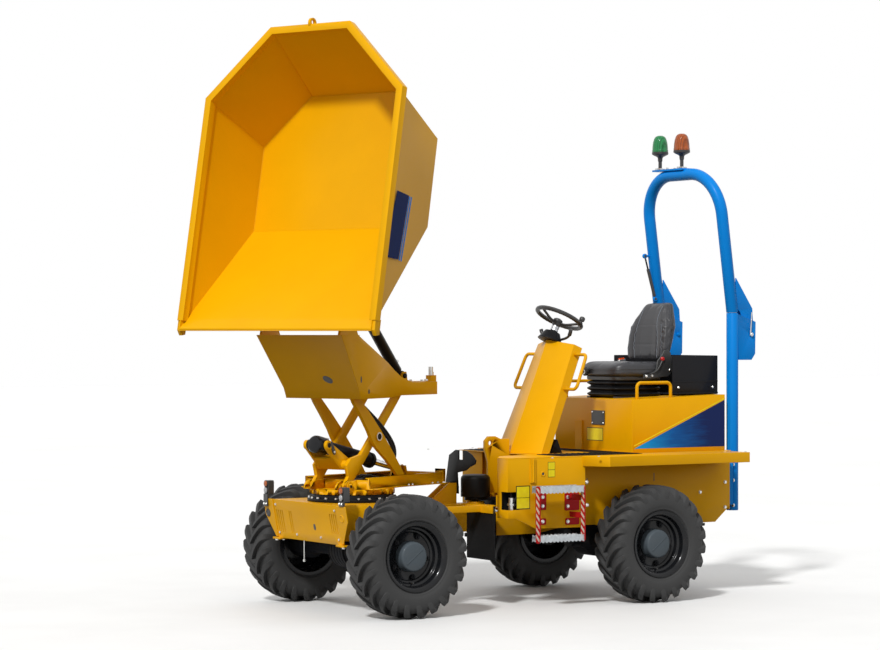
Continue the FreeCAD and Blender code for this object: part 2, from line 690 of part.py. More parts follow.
def inner_legs():
    """The legs on the front feet, tied by a cross tube that carries the lift ram's horns."""
    tube_u, tube_z = leg_point(FOOT, INNER_TUBE_ALONG, INNER_TUBE_SIDE, LEG_REST, -1)
    bulge = [(INNER_TUBE_ALONG + 120, LEG_HALF_WIDTH), (INNER_TUBE_ALONG + 34, INNER_TUBE_SIDE + 26),
             (INNER_TUBE_ALONG - 26, INNER_TUBE_SIDE + 26), (INNER_TUBE_ALONG - 60, LEG_HALF_WIDTH)]
    leg = leg_plate(FOOT, -1, INNER_V, bulge)
    bore = rod(vec(FOOT_U, 0, FOOT_Z), vec(FOOT_U, INNER_V + LEG_THICK, FOOT_Z), SCISSOR_PIN_R + PIN_CLEAR)
    stub = rod(vec(CENTRE[0], INNER_V, CENTRE[1]), vec(CENTRE[0], OUTER_V + LEG_THICK / 2 + 6, CENTRE[1]),
               SCISSOR_PIN_R)
    shoe = roller(TOP_ROLLER[0], TOP_ROLLER[1], INNER_V, TOP_CHANNEL_V - PLATE - 2,
                  TOP_CHANNEL_V - PLATE - 22)
    one = fuse([leg.cut(bore), stub, shoe])
    parts = both_sides(one)
    reach = INNER_V - LEG_THICK / 2 + 2
    parts.append(rod(vec(tube_u, -reach, tube_z), vec(tube_u, reach, tube_z), INNER_TUBE_R))
    horn = [(tube_u - 60, tube_z + 34), (tube_u - 26, tube_z - 20), (tube_u + 34, tube_z - 26),
            (RAM_FRONT_U + 22, RAM_FRONT_Z - 22), (RAM_FRONT_U - 6, RAM_FRONT_Z + 28),
            (RAM_FRONT_U - 30, RAM_FRONT_Z + 12)]
    low = HORN_V - HORN_THICK / 2
    high = HORN_V + HORN_THICK / 2
    plate = prism_y(horn, low, high)
    boss = rod(vec(RAM_FRONT_U, low, RAM_FRONT_Z), vec(RAM_FRONT_U, high + 6, RAM_FRONT_Z), 30)
    hole = rod(vec(RAM_FRONT_U, 0, RAM_FRONT_Z), vec(RAM_FRONT_U, 200, RAM_FRONT_Z), RAM_PIN_R + PIN_CLEAR)
    parts += both_sides(fuse([plate, boss]).cut(hole))
    # Plate between the horns, along their front edge
    apron = [(tube_u + 16, tube_z + 8), (tube_u + 32, tube_z - 24), (tube_u + 104, tube_z + 42),
             (tube_u + 92, tube_z + 54)]
    parts.append(prism_y(apron, -HORN_V, HORN_V))
    return to_slew(fuse(parts))


def outer_legs():
    """The legs on the rear sliders, one on each side, so that the lift ram can swing between them."""
    leg = leg_plate(ROLLER, 1, OUTER_V, [])
    for u, z in (CENTRE, TOP_PIN):
        leg = leg.cut(rod(vec(u, 0, z), vec(u, 2 * OUTER_V, z), SCISSOR_PIN_R + PIN_CLEAR))
    outer_face = OUTER_V + LEG_THICK / 2
    boss = ring(vec(CENTRE[0], OUTER_V, CENTRE[1]), vec(CENTRE[0], outer_face + 4, CENTRE[1]), 34,
                SCISSOR_PIN_R + PIN_CLEAR)
    shoe = roller(ROLLER[0], ROLLER[1], OUTER_V, RAIL_REAR_V - PLATE - 2, RAIL_REAR_V - PLATE - 22)
    return to_slew(Part.makeCompound(both_sides(fuse([leg, boss, shoe]))))


def top_frame():
    """The goose-neck on top of the scissor: sloped front plate, side plates, tail and hinge ears."""
    bottom = TOP_FRAME_BOTTOM
    channel = [(TOP_REAR_U, bottom + 12), (TOP_FLARE_U + 1, bottom + 12),
               (TOP_FLARE_U + 1, TOP_CHANNEL_TOP + 34),
               (TOP_FLARE_U - 120, TOP_CHANNEL_TOP), (TOP_REAR_U, TOP_CHANNEL_TOP)]
    parts = both_sides(prism_y(channel, TOP_CHANNEL_V - PLATE, TOP_CHANNEL_V))
    # Flared side plate, cut flat and then turned outward in plan about its rear edge
    run = TOP_FLARE_END_U - TOP_FLARE_U
    flare = math.degrees(math.atan2(TOP_FLARE_END_V - TOP_CHANNEL_V, run))
    stretch = 1 / math.cos(math.radians(flare))

    def along(u):
        return TOP_FLARE_U + (u - TOP_FLARE_U) * stretch

    side = [(along(TOP_FLARE_U), bottom + 12), (along(TOP_FLARE_U + 160), bottom),
            (along(TOP_FRONT_BOTTOM_U), bottom), (along(TOP_BEND_U), TOP_BEND_Z),
            (along(TOP_FRONT_TOP_U), TOP_FRAME_TOP), (along(TOP_FRONT_TOP_U - 214), TOP_FRAME_TOP),
            (along(-60), 1562), (along(-150), 1512), (along(TOP_FLARE_U), TOP_CHANNEL_TOP + 34)]
    plate = prism_y(side, TOP_CHANNEL_V - PLATE, TOP_CHANNEL_V)
    plate = turn(plate, vec(TOP_FLARE_U, TOP_CHANNEL_V, 0), vec(0, 0, 1), flare)
    parts += both_sides(plate)
    slope = (TOP_FLARE_END_V - TOP_CHANNEL_V) / run

    def half_at(u):
        return TOP_CHANNEL_V + (u - TOP_FLARE_U) * slope

    # Front plate in three levels as (u, z)
    levels = [(TOP_FRONT_BOTTOM_U, bottom), (TOP_BEND_U, TOP_BEND_Z), (TOP_FRONT_TOP_U, TOP_FRAME_TOP)]
    for (u0, z0), (u1, z1) in zip(levels[:-1], levels[1:]):
        low = [vec(u0, -half_at(u0), z0), vec(u0, half_at(u0), z0),
               vec(u0 - PLATE, half_at(u0) - 2, z0), vec(u0 - PLATE, 2 - half_at(u0), z0)]
        high = [vec(u1, -half_at(u1), z1), vec(u1, half_at(u1), z1),
                vec(u1 - PLATE, half_at(u1) - 2, z1), vec(u1 - PLATE, 2 - half_at(u1), z1)]
        parts.append(hull(low, high))
    tie_u = TOP_REAR_U
    parts.append(block(tie_u, tie_u + PLATE, -TOP_CHANNEL_V, TOP_CHANNEL_V, bottom + 12, TOP_CHANNEL_TOP))
    # Guides that hold the inner legs' sliding blocks
    clear = ROLLER_R + ROLLER_GAP
    for z0 in (TOP_ROLLER[1] - clear - 12, TOP_ROLLER[1] + clear):
        parts += both_sides(block(tie_u, TOP_ROLLER[0] + 60, TOP_CHANNEL_V - PLATE - 24, TOP_CHANNEL_V, z0,
                                  z0 + 12))
    # Pins of the outer legs, short so that the lift ram's end can pass between them
    pin_start = OUTER_V - LEG_THICK / 2
    pin_end = half_at(TOP_PIN[0]) - 3
    parts += both_sides(rod(vec(TOP_PIN[0], pin_start, TOP_PIN[1]), vec(TOP_PIN[0], pin_end, TOP_PIN[1]),
                            SCISSOR_PIN_R))
    # Tail tongue with its upright pin
    pin_u = -866.0
    parts.append(prism_z([(tie_u, -90), (tie_u, 90), (pin_u + 70, 20), (pin_u - 22, 20), (pin_u - 22, -20),
                          (pin_u + 70, -20)], TOP_CHANNEL_TOP - 26, TOP_CHANNEL_TOP))
    parts.append(block(pin_u - 22, pin_u + 40, -20, 20, TOP_CHANNEL_TOP - 2, TOP_CHANNEL_TOP + 36))
    parts.append(rod(vec(pin_u, 0, TOP_CHANNEL_TOP - 2), vec(pin_u, 0, TOP_CHANNEL_TOP + 58), 12))
    # Tip ram's base lugs on a beam between the channels
    parts.append(block(TIP_BASE_U - 46, TIP_BASE_U + 30, 1 - TOP_CHANNEL_V, TOP_CHANNEL_V - 1,
                       TOP_CHANNEL_TOP - 9, TOP_CHANNEL_TOP))
    lug = [(TIP_BASE_U - 40, TOP_CHANNEL_TOP - 4), (TIP_BASE_U + 28, TOP_CHANNEL_TOP - 4),
           (TIP_BASE_U + 24, TIP_BASE_Z + 10), (TIP_BASE_U + 8, TIP_BASE_Z + 26),
           (TIP_BASE_U - 24, TIP_BASE_Z + 26)]
    lug_plate = prism_y(lug, 30, 42)
    hole = rod(vec(TIP_BASE_U, 0, TIP_BASE_Z), vec(TIP_BASE_U, 60, TIP_BASE_Z), RAM_PIN_R + PIN_CLEAR)
    parts += both_sides(lug_plate.cut(hole))
    # Hinge ears and the plate that ties them
    ear_v = 300.0
    ear = [(TOP_FRONT_TOP_U - 40, TOP_FRAME_TOP - 30), (TOP_FRONT_TOP_U - 6, TOP_FRAME_TOP - 4),
           (HINGE_U + 44, HINGE_Z), (HINGE_U + 26, HINGE_Z + 38), (HINGE_U - 26, HINGE_Z + 38),
           (HINGE_U - 44, HINGE_Z), (HINGE_U - 120, TOP_FRAME_TOP - 30)]
    ear_plate = prism_y(ear, ear_v, ear_v + 16)
    ear_hole = rod(vec(HINGE_U, 0, HINGE_Z), vec(HINGE_U, 400, HINGE_Z), HINGE_PIN_R + PIN_CLEAR)
    parts += both_sides(ear_plate.cut(ear_hole))
    parts.append(block(HINGE_U - 120, TOP_FRONT_TOP_U - 8, -316, 316, TOP_FRAME_TOP - PLATE, TOP_FRAME_TOP))
    return to_slew(fuse(parts))


def skip_outlines():
    """Rim and floor outlines of the skip in its level frame."""
    taper = (SKIP_CHAMFER_S - SKIP_LENGTH) / (SKIP_HALF_WIDTH - SKIP_REAR_HALF)
    floor_rear_half = FLOOR_HALF + (FLOOR_REAR_S - FLOOR_CHAMFER_S) / taper
    rim_corners = [(0, SKIP_HALF_WIDTH), (SKIP_CHAMFER_S, SKIP_HALF_WIDTH), (SKIP_LENGTH, SKIP_REAR_HALF)]
    floor_corners = [(FLOOR_FRONT_S, FLOOR_HALF), (FLOOR_CHAMFER_S, FLOOR_HALF),
                     (FLOOR_REAR_S, floor_rear_half)]
    rim_ring = rim_corners + [(s, -v) for s, v in reversed(rim_corners)]
    floor_ring = floor_corners + [(s, -v) for s, v in reversed(floor_corners)]
    return [vec(-s, v, 0) for s, v in rim_ring], [vec(-s, v, -SKIP_DEPTH) for s, v in floor_ring]


def rim_bars():
    """The square bar round the skip's sides and back, outside the walls."""
    # Each corner moves outward along the mitre of its two sides
    bend = math.atan2(SKIP_LENGTH - SKIP_CHAMFER_S, SKIP_HALF_WIDTH - SKIP_REAR_HALF)
    side_mitre = math.tan((math.pi / 2 - bend) / 2)
    rear_mitre = math.tan(bend / 2)

    def outline(width):
        corners = [(60, SKIP_HALF_WIDTH + width),
                   (SKIP_CHAMFER_S + width * side_mitre, SKIP_HALF_WIDTH + width),
                   (SKIP_LENGTH + width, SKIP_REAR_HALF + width * rear_mitre)]
        return [(-s, v) for s, v in corners] + [(-s, -v) for s, v in reversed(corners)]

    outer = prism_z(outline(RIM_BAR_WIDTH / 2), -RIM_BAR_DEPTH, 0)
    return outer.cut(prism_z(outline(-RIM_BAR_WIDTH / 2), -RIM_BAR_DEPTH - 1, 1))


def skip_level():
    """The skip in its level frame: hollow shell, rim bar, lip, floor rails and hinge lugs."""
    rim_wire, floor_wire = skip_outlines()
    shell = hull(floor_wire, rim_wire)
    top = max(shell.Faces, key=lambda face: face.CenterOfMass.z)
    shell = shell.makeThickness([top], -SKIP_WALL, 0.001)
    parts = [shell, rim_bars()]
    slope = SKIP_DEPTH / FLOOR_FRONT_S
    lip = [(6, 0), (-LIP_BAR, -LIP_BAR * slope), (-LIP_BAR, -LIP_BAR * slope - 26), (4, -22)]
    parts.append(prism_y(lip, -SKIP_HALF_WIDTH, SKIP_HALF_WIDTH))
    # Stiffening rails under the floor and slope, which carry the hinge lugs and the tip ram's lug
    rail = [(-60, -60 * slope), (-FLOOR_FRONT_S, -SKIP_DEPTH + 1), (-FLOOR_FRONT_S - 30, -SKIP_DEPTH - 30),
            (-FLOOR_FRONT_S + 12, -SKIP_DEPTH - 34), (-90, -60 * slope - 52)]
    lug = [(-70, -70 * slope - 8), (-HINGE_S - 190, -(HINGE_S + 190) * slope - 8),
           (-HINGE_S - 60, -HINGE_D + 10),
           (-HINGE_S - 30, -HINGE_D - 34), (-HINGE_S + 26, -HINGE_D - 36), (-HINGE_S + 46, -HINGE_D)]
    parts += both_sides(prism_y(lug, 322, 340))
    for pin in both_sides(rod(vec(-HINGE_S, 302, -HINGE_D), vec(-HINGE_S, 352, -HINGE_D), HINGE_PIN_R)):
        parts.append(pin)
    parts += both_sides(prism_y(rail, 322, 340))
    ram_lug = [(-TIP_LUG_S + 120, 4 - (TIP_LUG_S - 120) * slope),
               (-TIP_LUG_S - 110, 4 - (TIP_LUG_S + 110) * slope),
               (-TIP_LUG_S - 32, -TIP_LUG_D - 12), (-TIP_LUG_S - 10, -TIP_LUG_D - 32),
               (-TIP_LUG_S + 30, -TIP_LUG_D - 26), (-TIP_LUG_S + 40, -TIP_LUG_D + 10)]
    parts += both_sides(prism_y(ram_lug, 45, 57))
    # Corner hooks of the lip and the lifting ring on the rear rim
    hook = [(0, -8), (-70, -8), (-70, -60), (20, -60), (30, -34)]
    parts += both_sides(prism_y(hook, SKIP_HALF_WIDTH - 6, SKIP_HALF_WIDTH + RIM_BAR_WIDTH / 2 - 2))
    eye = rod(vec(-SKIP_LENGTH - 34, -8, -24), vec(-SKIP_LENGTH - 34, 8, -24), 34)
    eye = eye.cut(rod(vec(-SKIP_LENGTH - 40, -9, -24), vec(-SKIP_LENGTH - 40, 9, -24), LIFT_EYE_R))
    return fuse(parts + [eye])


def skip():
    """The skip on its hinge, tipped and slewed as it stands."""
    shape = skip_level()
    shape.translate(vec(HINGE_U + HINGE_S, 0, HINGE_Z + HINGE_D))
    shape.rotate(vec(HINGE_U, 0, HINGE_Z), vec(0, 1, 0), TIP_REST)
    return to_slew(shape)


def ram(base, tip, barrel_r, rod_r, barrel_end, stem_start, eye_r, eye_half, base_half):
    """A ram in the XZ plane from its base pin to its rod eye, as barrel and rod."""
    reach = tip - base
    d = reach / reach.Length
    side = vec(0, 1, 0)
    base_r = eye_r + 4
    neck = base_r + 8
    neck_r = min(barrel_r, base_half) - 1
    barrel = fuse([rod(base, base + d * neck, neck_r),
                   rod(base + d * neck, base + d * barrel_end, barrel_r)])
    gland = rod(base + d * (barrel_end - 30), base + d * barrel_end, barrel_r + 6)
    base_eye = rod(base - side * base_half, base + side * base_half, base_r)
    bore = rod(base + d * (neck + 8), base + d * (barrel_end + 1), rod_r + PIN_CLEAR)
    body = fuse([barrel, gland, base_eye]).cut(bore)
    pin_half = base_half + RAM_PIN_OUT
    body = fuse([body, rod(base - side * pin_half, base + side * pin_half, RAM_PIN_R)])
    stem = rod(base + d * stem_start, tip - d * (eye_r * 0.5), rod_r)
    tip_eye = rod(tip - side * eye_half, tip + side * eye_half, eye_r)
    hole = rod(tip - side * (eye_half + 1), tip + side * (eye_half + 1), RAM_PIN_R)
    return body, fuse([stem, tip_eye]).cut(hole)


def tip_point():
    """The tip ram's eye on the skip at rest, as (u, z)."""
    a = math.radians(TIP_REST)
    du = HINGE_S - TIP_LUG_S
    dz = HINGE_D - TIP_LUG_D
    return (HINGE_U + du * math.cos(a) + dz * math.sin(a), HINGE_Z - du * math.sin(a) + dz * math.cos(a))


def lift_ram():
    """The lift ram, its barrel pinned to the horns and its rod eye to the swivel frame."""
    body, stem = ram(vec(RAM_FRONT_U, 0, RAM_FRONT_Z), vec(RAM_REAR_U, 0, RAM_REAR_Z), 42, 22, 560, 240, 30,
                     23, 66)
    return to_slew(body), to_slew(stem)


def tip_ram():
    """The tip ram, its barrel pinned to the top frame and its rod eye to the skip."""
    u, z = tip_point()
    body, stem = ram(vec(TIP_BASE_U, 0, TIP_BASE_Z), vec(u, 0, z), 35, 20, 525, 482, 28, 42, 28)
    return to_slew(body), to_slew(stem)


def steer_ram():
    """The steering ram between the rear body and the front chassis, lying flat."""
    reach = math.hypot(STEER_LUG_X - STEER_BASE_X, STEER_LUG_Y - STEER_BASE_Y)
    body, stem = ram(vec(0, 0, 0), vec(reach, 0, 0), 30, 16, 372, 190, 24, 14, 16)
    heading = math.degrees(math.atan2(STEER_LUG_Y - STEER_BASE_Y, STEER_LUG_X - STEER_BASE_X))
    placed = []
    for shape in (body, stem):
        flat = turn(shape, vec(0, 0, 0), vec(1, 0, 0), 90)
        flat = turn(flat, vec(0, 0, 0), vec(0, 0, 1), heading)
        flat.translate(vec(STEER_BASE_X, STEER_BASE_Y, STEER_Z))
        placed.append(flat)
    return placed[0], placed[1]


def rear_chassis():
    """The rear frame: step cheeks, slanted arch walls, inner plates, cross plates and ram bracket."""
    deck_under = DECK_TOP - SHEET - FIT_GAP
    half = BODY_HALF_WIDTH
    cheek = [(NOSE_X, 575), (NOSE_X, deck_under), (CHEEK_REAR_X, deck_under), (CHEEK_REAR_X, 500),
             (-60, 505), (90, 575)]
    short = [(RIGHT_CHEEK_X, 500), (RIGHT_CHEEK_X, deck_under), (CHEEK_REAR_X, deck_under),
             (CHEEK_REAR_X, 500)]
    parts = [prism_y(cheek, half - SHEET, half), prism_y(short, -half, SHEET - half)]
    # Slanted wall in front of the rear tyre, from the cheek in to the inner plate
    wall = [(CHEEK_REAR_X, half), (ARCH_FRONT_X, INNER_HALF_WIDTH), (ARCH_FRONT_X, INNER_HALF_WIDTH - PLATE),
            (CHEEK_REAR_X + 6, half - 8)]
    parts += both_sides(prism_z(wall, 500, deck_under))
    nose = prism_x([(CHEEK_INNER, 575), (half, 575), (half, deck_under), (CHEEK_INNER, deck_under)],
                   NOSE_X - SHEET, NOSE_X)
    parts.append(nose)
    inner = [(ARCH_FRONT_X + 3, 500), (ARCH_FRONT_X + 3, deck_under), (BODY_REAR_X, deck_under),
             (BODY_REAR_X, 585), (-1620, 480), (-1520, 480), (-1430, 520), (REAR_AXLE_X - 110, 520),
             (REAR_AXLE_X - 60, 470), (REAR_AXLE_X + 60, 470), (REAR_AXLE_X + 110, 500)]
    parts += both_sides(prism_y(inner, INNER_HALF_WIDTH - PLATE, INNER_HALF_WIDTH))
    y_in = INNER_HALF_WIDTH - 1
    parts.append(block(BODY_REAR_X, BODY_REAR_X + PLATE, -y_in, y_in, 560, deck_under))
    parts.append(block(-620, -620 + PLATE, -y_in, y_in, 520, deck_under))
    saddle_top = AXLE_Z + AXLE_TUBE_R + 35
    parts += both_sides(block(REAR_AXLE_X - 90, REAR_AXLE_X + 90, 170, y_in, saddle_top, saddle_top + 14))
    # Centre spine that carries the pivot yoke
    parts += both_sides(prism_y([(-640, 470), (-640, 700), (-90, 690), (-90, 430), (-400, 430)], 108, 120))
    parts.append(block(-640, -160, -120, 120, 470, 484))
    # Front cross plate behind the flaps' swing and the steering ram's bracket
    parts.append(block(CROSS_X - PLATE, CROSS_X, 2 - half, half - 2, 700, deck_under))
    parts.append(block(RIGHT_CHEEK_X - SHEET, RIGHT_CHEEK_X, -half, 100 - INNER_HALF_WIDTH, 500, deck_under))
    for z0 in (STEER_Z - 30, STEER_Z + 18):
        parts.append(block(-615, STEER_BASE_X + 26, STEER_BASE_Y - 40, STEER_BASE_Y + 40, z0, z0 + 12))
    frame = fuse(parts)
    window = block(NOSE_X - 90, NOSE_X + 1, CHEEK_INNER + 40, half + 1, 628, 742)
    frame = frame.cut(window)
    pin_hole = rod(vec(STEER_BASE_X, STEER_BASE_Y, STEER_Z - 60),
                   vec(STEER_BASE_X, STEER_BASE_Y, STEER_Z + 60),
                   RAM_PIN_R + PIN_CLEAR)
    return frame.cut(pin_hole)


def pivot_yoke():
    """Upper and lower yoke plates with the pivot pin, and the plate that bolts them to the rear body."""
    low = BEAM_BOTTOM - 10 - YOKE_GAP
    high = BEAM_TOP + 10 + YOKE_GAP
    parts = []
    for z0 in (low - YOKE_THICK, high):
        plate = prism_z([(0, YOKE_R), (-90 - FIT_GAP, 104), (-90 - FIT_GAP, -104), (0, -YOKE_R)], z0,
                        z0 + YOKE_THICK)
        parts += [plate, rod(vec(0, 0, z0), vec(0, 0, z0 + YOKE_THICK), YOKE_R)]
    parts.append(rod(vec(0, 0, low - YOKE_THICK), vec(0, 0, high + YOKE_THICK), PIVOT_PIN_R))
    wrap = block(-90 - 14, -90 - FIT_GAP, -104, 104, low - YOKE_THICK, high + YOKE_THICK)
    parts.append(wrap)
    return fuse(parts)


def hose_drum():
    """The round cover over the pivot, domed on top."""
    foot = BEAM_TOP + 10 + YOKE_GAP + YOKE_THICK + FIT_GAP
    drum = rod(vec(0, 0, foot), vec(0, 0, DRUM_TOP), DRUM_R)
    top = [edge for edge in drum.Edges if edge.Closed and abs(edge.CenterOfMass.z - DRUM_TOP) < 1]
    return drum.makeFillet(30, top)


def nose_plate():
    """The upright lifting plate behind the pivot, with its eye."""
    front = -DRUM_R - FIT_GAP
    outline = [(front, 700), (CROSS_X + FIT_GAP, 700), (CROSS_X + FIT_GAP, 946), (DECK_NOTCH_X + 1, 946),
               (DECK_NOTCH_X + 1, 1052), (-190, 1052), (-150, 1070), (-98, 1070),
               (-70, 1040), (-70, 985), (front, 900)]
    plate = prism_y(outline, -14, 14)
    return plate.cut(rod(vec(-112, -20, 1026), vec(-112, 20, 1026), LIFT_EYE_R))


def deck():
    """The deck sheet with its two rear fenders and their turned down edges."""
    half = BODY_HALF_WIDTH
    wide = FENDER_HALF_WIDTH
    side = [(FENDER_FRONT_X, half), (FENDER_FLARE_X, wide), (FENDER_REAR_X, wide),
            (FENDER_REAR_X, 470), (BODY_REAR_X - 4, 470)]
    outline = [(DECK_NOTCH_X, DECK_NOTCH_HALF), (30, 330), (NOSE_X, CHEEK_INNER), (NOSE_X, half)] + side
    outline += [(x, -y) for x, y in reversed(side)] + [(DECK_NOTCH_X, -half)]
    sheet = prism_z(outline, DECK_TOP - SHEET, DECK_TOP)
    low = DECK_TOP - VALANCE
    edge = [(FENDER_FRONT_X, half), (FENDER_FLARE_X, wide), (FENDER_REAR_X, wide),
            (FENDER_REAR_X, 470 + SHEET),
            (FENDER_REAR_X + SHEET, 470 + SHEET), (FENDER_REAR_X + SHEET, wide - SHEET),
            (FENDER_FLARE_X - 2, wide - SHEET), (FENDER_FRONT_X - SHEET, half)]
    parts = [sheet] + both_sides(prism_z(edge, low, DECK_TOP - 1))
    return fuse(parts)


def box_top_at(x):
    """Height of the seat box's top, which falls a little to the front."""
    return BOX_TOP - BOX_FALL * (x - BOX_REAR_X) / (BOX_FRONT_X - BOX_REAR_X)


def seat_box():
    """The hollow box under the seat, open below onto the deck."""
    foot = DECK_TOP + FIT_GAP
    front = BOX_FRONT_X - SHEET
    rear = BOX_REAR_X + SHEET
    outline = [(BOX_FRONT_X, foot), (BOX_FRONT_X, box_top_at(BOX_FRONT_X)), (BOX_REAR_X, BOX_TOP),
               (BOX_REAR_X, foot)]
    hollow = [(front, foot - 1), (front, box_top_at(front) - SHEET), (rear, box_top_at(rear) - SHEET),
              (rear, foot - 1)]
    shell = prism_y(outline, -BOX_HALF_WIDTH, BOX_HALF_WIDTH)
    return shell.cut(prism_y(hollow, SHEET - BOX_HALF_WIDTH, BOX_HALF_WIDTH - SHEET))


def battery_block():
    """The drive battery as one plain block on the deck, inside the seat box."""
    return block(BOX_REAR_X + 60, BOX_FRONT_X - 60, 60 - BOX_HALF_WIDTH, BOX_HALF_WIDTH - 60,
                 DECK_TOP + FIT_GAP, BOX_TOP - BOX_FALL - 40)


def console_section(x, half, z, slope):
    """The console's corners near one height, on a level or sloping plane."""
    back = x - CONSOLE_SIDE
    plan = [(x, -half), (x + CONSOLE_PROW, 0), (x, half), (back, half + 4), (back - 40, half - 60),
            (back - 40, 60 - half), (back, -half - 4)]
    return [vec(at, y, z + (at - x) * slope) for at, y in plan]


def console():
    """The steering console: a six-sided tapering post that leans back over the deck."""
    foot = DECK_TOP + FIT_GAP
    low = console_section(CONSOLE_FOOT_X, CONSOLE_FOOT_HALF, foot, 0)
    high = console_section(CONSOLE_TOP_X, CONSOLE_TOP_HALF, CONSOLE_TOP_Z, CONSOLE_SLOPE)
    return hull(low, high)


def console_half_at(z):
    """Half the console's width at a height, at its rear side corner."""
    share = (z - DECK_TOP) / (CONSOLE_TOP_Z - DECK_TOP)
    return CONSOLE_FOOT_HALF + 4 + (CONSOLE_TOP_HALF - CONSOLE_FOOT_HALF) * share


def console_x_at(z):
    """The console's front corner line at a height."""
    share = (z - DECK_TOP) / (CONSOLE_TOP_Z - DECK_TOP)
    return CONSOLE_FOOT_X + (CONSOLE_TOP_X - CONSOLE_FOOT_X) * share


def grab_handles():
    """Tube handles: one on each side of the console and one on each side of the seat box."""
    z_low = 1378.0
    z_high = 1604.0
    points = []
    for z, out in ((z_low, 0), (z_low, 1), (z_high, 1), (z_high, 0)):
        y = console_half_at(z - HANDLE_R) + (HANDLE_SEAT if out == 0 else HANDLE_REACH)
        points.append(vec(console_x_at(z) - CONSOLE_SIDE / 2, y, z))
    loops = both_sides(bent_tube(points, [HANDLE_BEND, HANDLE_BEND], HANDLE_R))
    y = BOX_HALF_WIDTH - 38
    rail = [vec(-1012, y, box_top_at(-1012 - HANDLE_R) + FIT_GAP), vec(-1012, y, BOX_TOP + 84),
            vec(-1290, y, BOX_TOP + 84), vec(-1290, y, box_top_at(-1290 - HANDLE_R) + FIT_GAP)]
    loops += both_sides(bent_tube(rail, [HANDLE_BEND, HANDLE_BEND], HANDLE_R))
    return Part.makeCompound(loops)


def step():
    """A two-tread step hung on the cheek: side frames, treads and mounting feet."""
    wall = BODY_HALF_WIDTH + FIT_GAP
    out = wall + STEP_OUT
    parts = []
    for x in (STEP_FRONT_X - 6, STEP_REAR_X):
        parts.append(block(x, x + 6, wall + 60, out, 422, 782))
        for z in (700, 588):
            parts.append(block(x, x + 6, wall, wall + 64, z - 20, z + 20))
    for z in (752, 432):
        parts.append(block(STEP_REAR_X, STEP_FRONT_X, wall + 60, out - 4, z, z + 26))
    for x0, x1 in ((STEP_FRONT_X - 76, STEP_FRONT_X), (STEP_REAR_X, STEP_REAR_X + 90)):
        parts.append(block(x0, x1, wall, wall + 6, 640, 742))
        parts.append(block(x0, x1, wall, wall + 6, 562, 606))
    return fuse(parts)


def rops_posts():
    """The fixed lower posts of the roll bar with their clamping plates and hinge cheeks."""
    parts = []
    tube = ring(vec(POST_X, POST_Y, POST_FOOT_Z), vec(POST_X, POST_Y, SPLIT_Z - 1.5), POST_R,
                POST_R - POST_WALL)
    foot_cut = block(POST_X - 60, POST_X + 60, POST_Y - 60, POST_Y + 60, POST_FOOT_Z - 60, POST_FOOT_Z)
    foot_cut = turn(foot_cut, vec(POST_X + 40, POST_Y, POST_FOOT_Z), vec(0, 1, 0), -24)
    tube = tube.cut(foot_cut)
    plate = block(BODY_REAR_X - 28, BODY_REAR_X - FIT_GAP, POST_Y - 58, POST_Y + 54, 590, 930)
    parts.append(fuse([tube,
                       plate.cut(rod(vec(POST_X, POST_Y, 500), vec(POST_X, POST_Y, 1000), POST_R - 1))]))
    cheek = [(POST_X - 20, SPLIT_Z - 8), (ROPS_PIN_X - 40, SPLIT_Z - 60),
             (ROPS_PIN_X - 36, ROPS_PIN_Z - 130),
             (ROPS_PIN_X - 4, ROPS_PIN_Z - 172), (POST_X - 34, ROPS_PIN_Z - 172)]
    for y in (POST_Y - 33, POST_Y + 23):
        part = prism_y(cheek, y, y + 10)
        part = part.cut(rod(vec(POST_X, POST_Y, 1500), vec(POST_X, POST_Y, 1900), POST_R - 2))
        hole = rod(vec(ROPS_PIN_X, y - 1, ROPS_PIN_Z), vec(ROPS_PIN_X, y + 11, ROPS_PIN_Z), 12 + PIN_CLEAR)
        parts.append(part.cut(hole))
    return Part.makeCompound(both_sides(fuse(parts)))


def rops_hoop():
    """The folding upper hoop: one bent tube that leans forward, with its hinge arms and beacon plate."""
    lean = math.radians(HOOP_LEAN)
    foot = vec(POST_X, POST_Y, SPLIT_Z + 1.5)
    top_x = POST_X + HOOP_RISE * math.sin(lean)
    top_z = SPLIT_Z + HOOP_RISE * math.cos(lean)
    points = [foot, vec(top_x, POST_Y, top_z), vec(top_x, -POST_Y, top_z),
              vec(POST_X, -POST_Y, SPLIT_Z + 1.5)]
    tube = bent_tube(points, [HOOP_BEND_R, HOOP_BEND_R], POST_R, POST_R - POST_WALL)
    level = block(POST_X - 90, POST_X + 90, -2 * POST_Y, 2 * POST_Y, SPLIT_Z - 60, SPLIT_Z + 1.5)
    tube = tube.cut(level)
    arm = [(POST_X - 10, SPLIT_Z + 40), (POST_X - 16, SPLIT_Z + 236), (ROPS_PIN_X - 20, SPLIT_Z + 30),
           (ROPS_PIN_X - 34, ROPS_PIN_Z - 40), (ROPS_PIN_X + 24, ROPS_PIN_Z - 40),
           (POST_X - 52, SPLIT_Z + 6)]
    arms = []
    for y in (POST_Y - 21.5, POST_Y + 11.5):
        plate = prism_y(arm, y, y + 10)
        arms.append(plate)
    pin = rod(vec(ROPS_PIN_X, POST_Y - 42, ROPS_PIN_Z), vec(ROPS_PIN_X, POST_Y + 42, ROPS_PIN_Z), 12)
    parts = [tube] + both_sides(fuse(arms + [pin]))
    parts.append(block(top_x - 44, top_x + 44, BEACON_Y[0] - 34, BEACON_Y[1] + 60, top_z + POST_R - 8,
                       top_z + POST_R + 4))
    return fuse(parts)


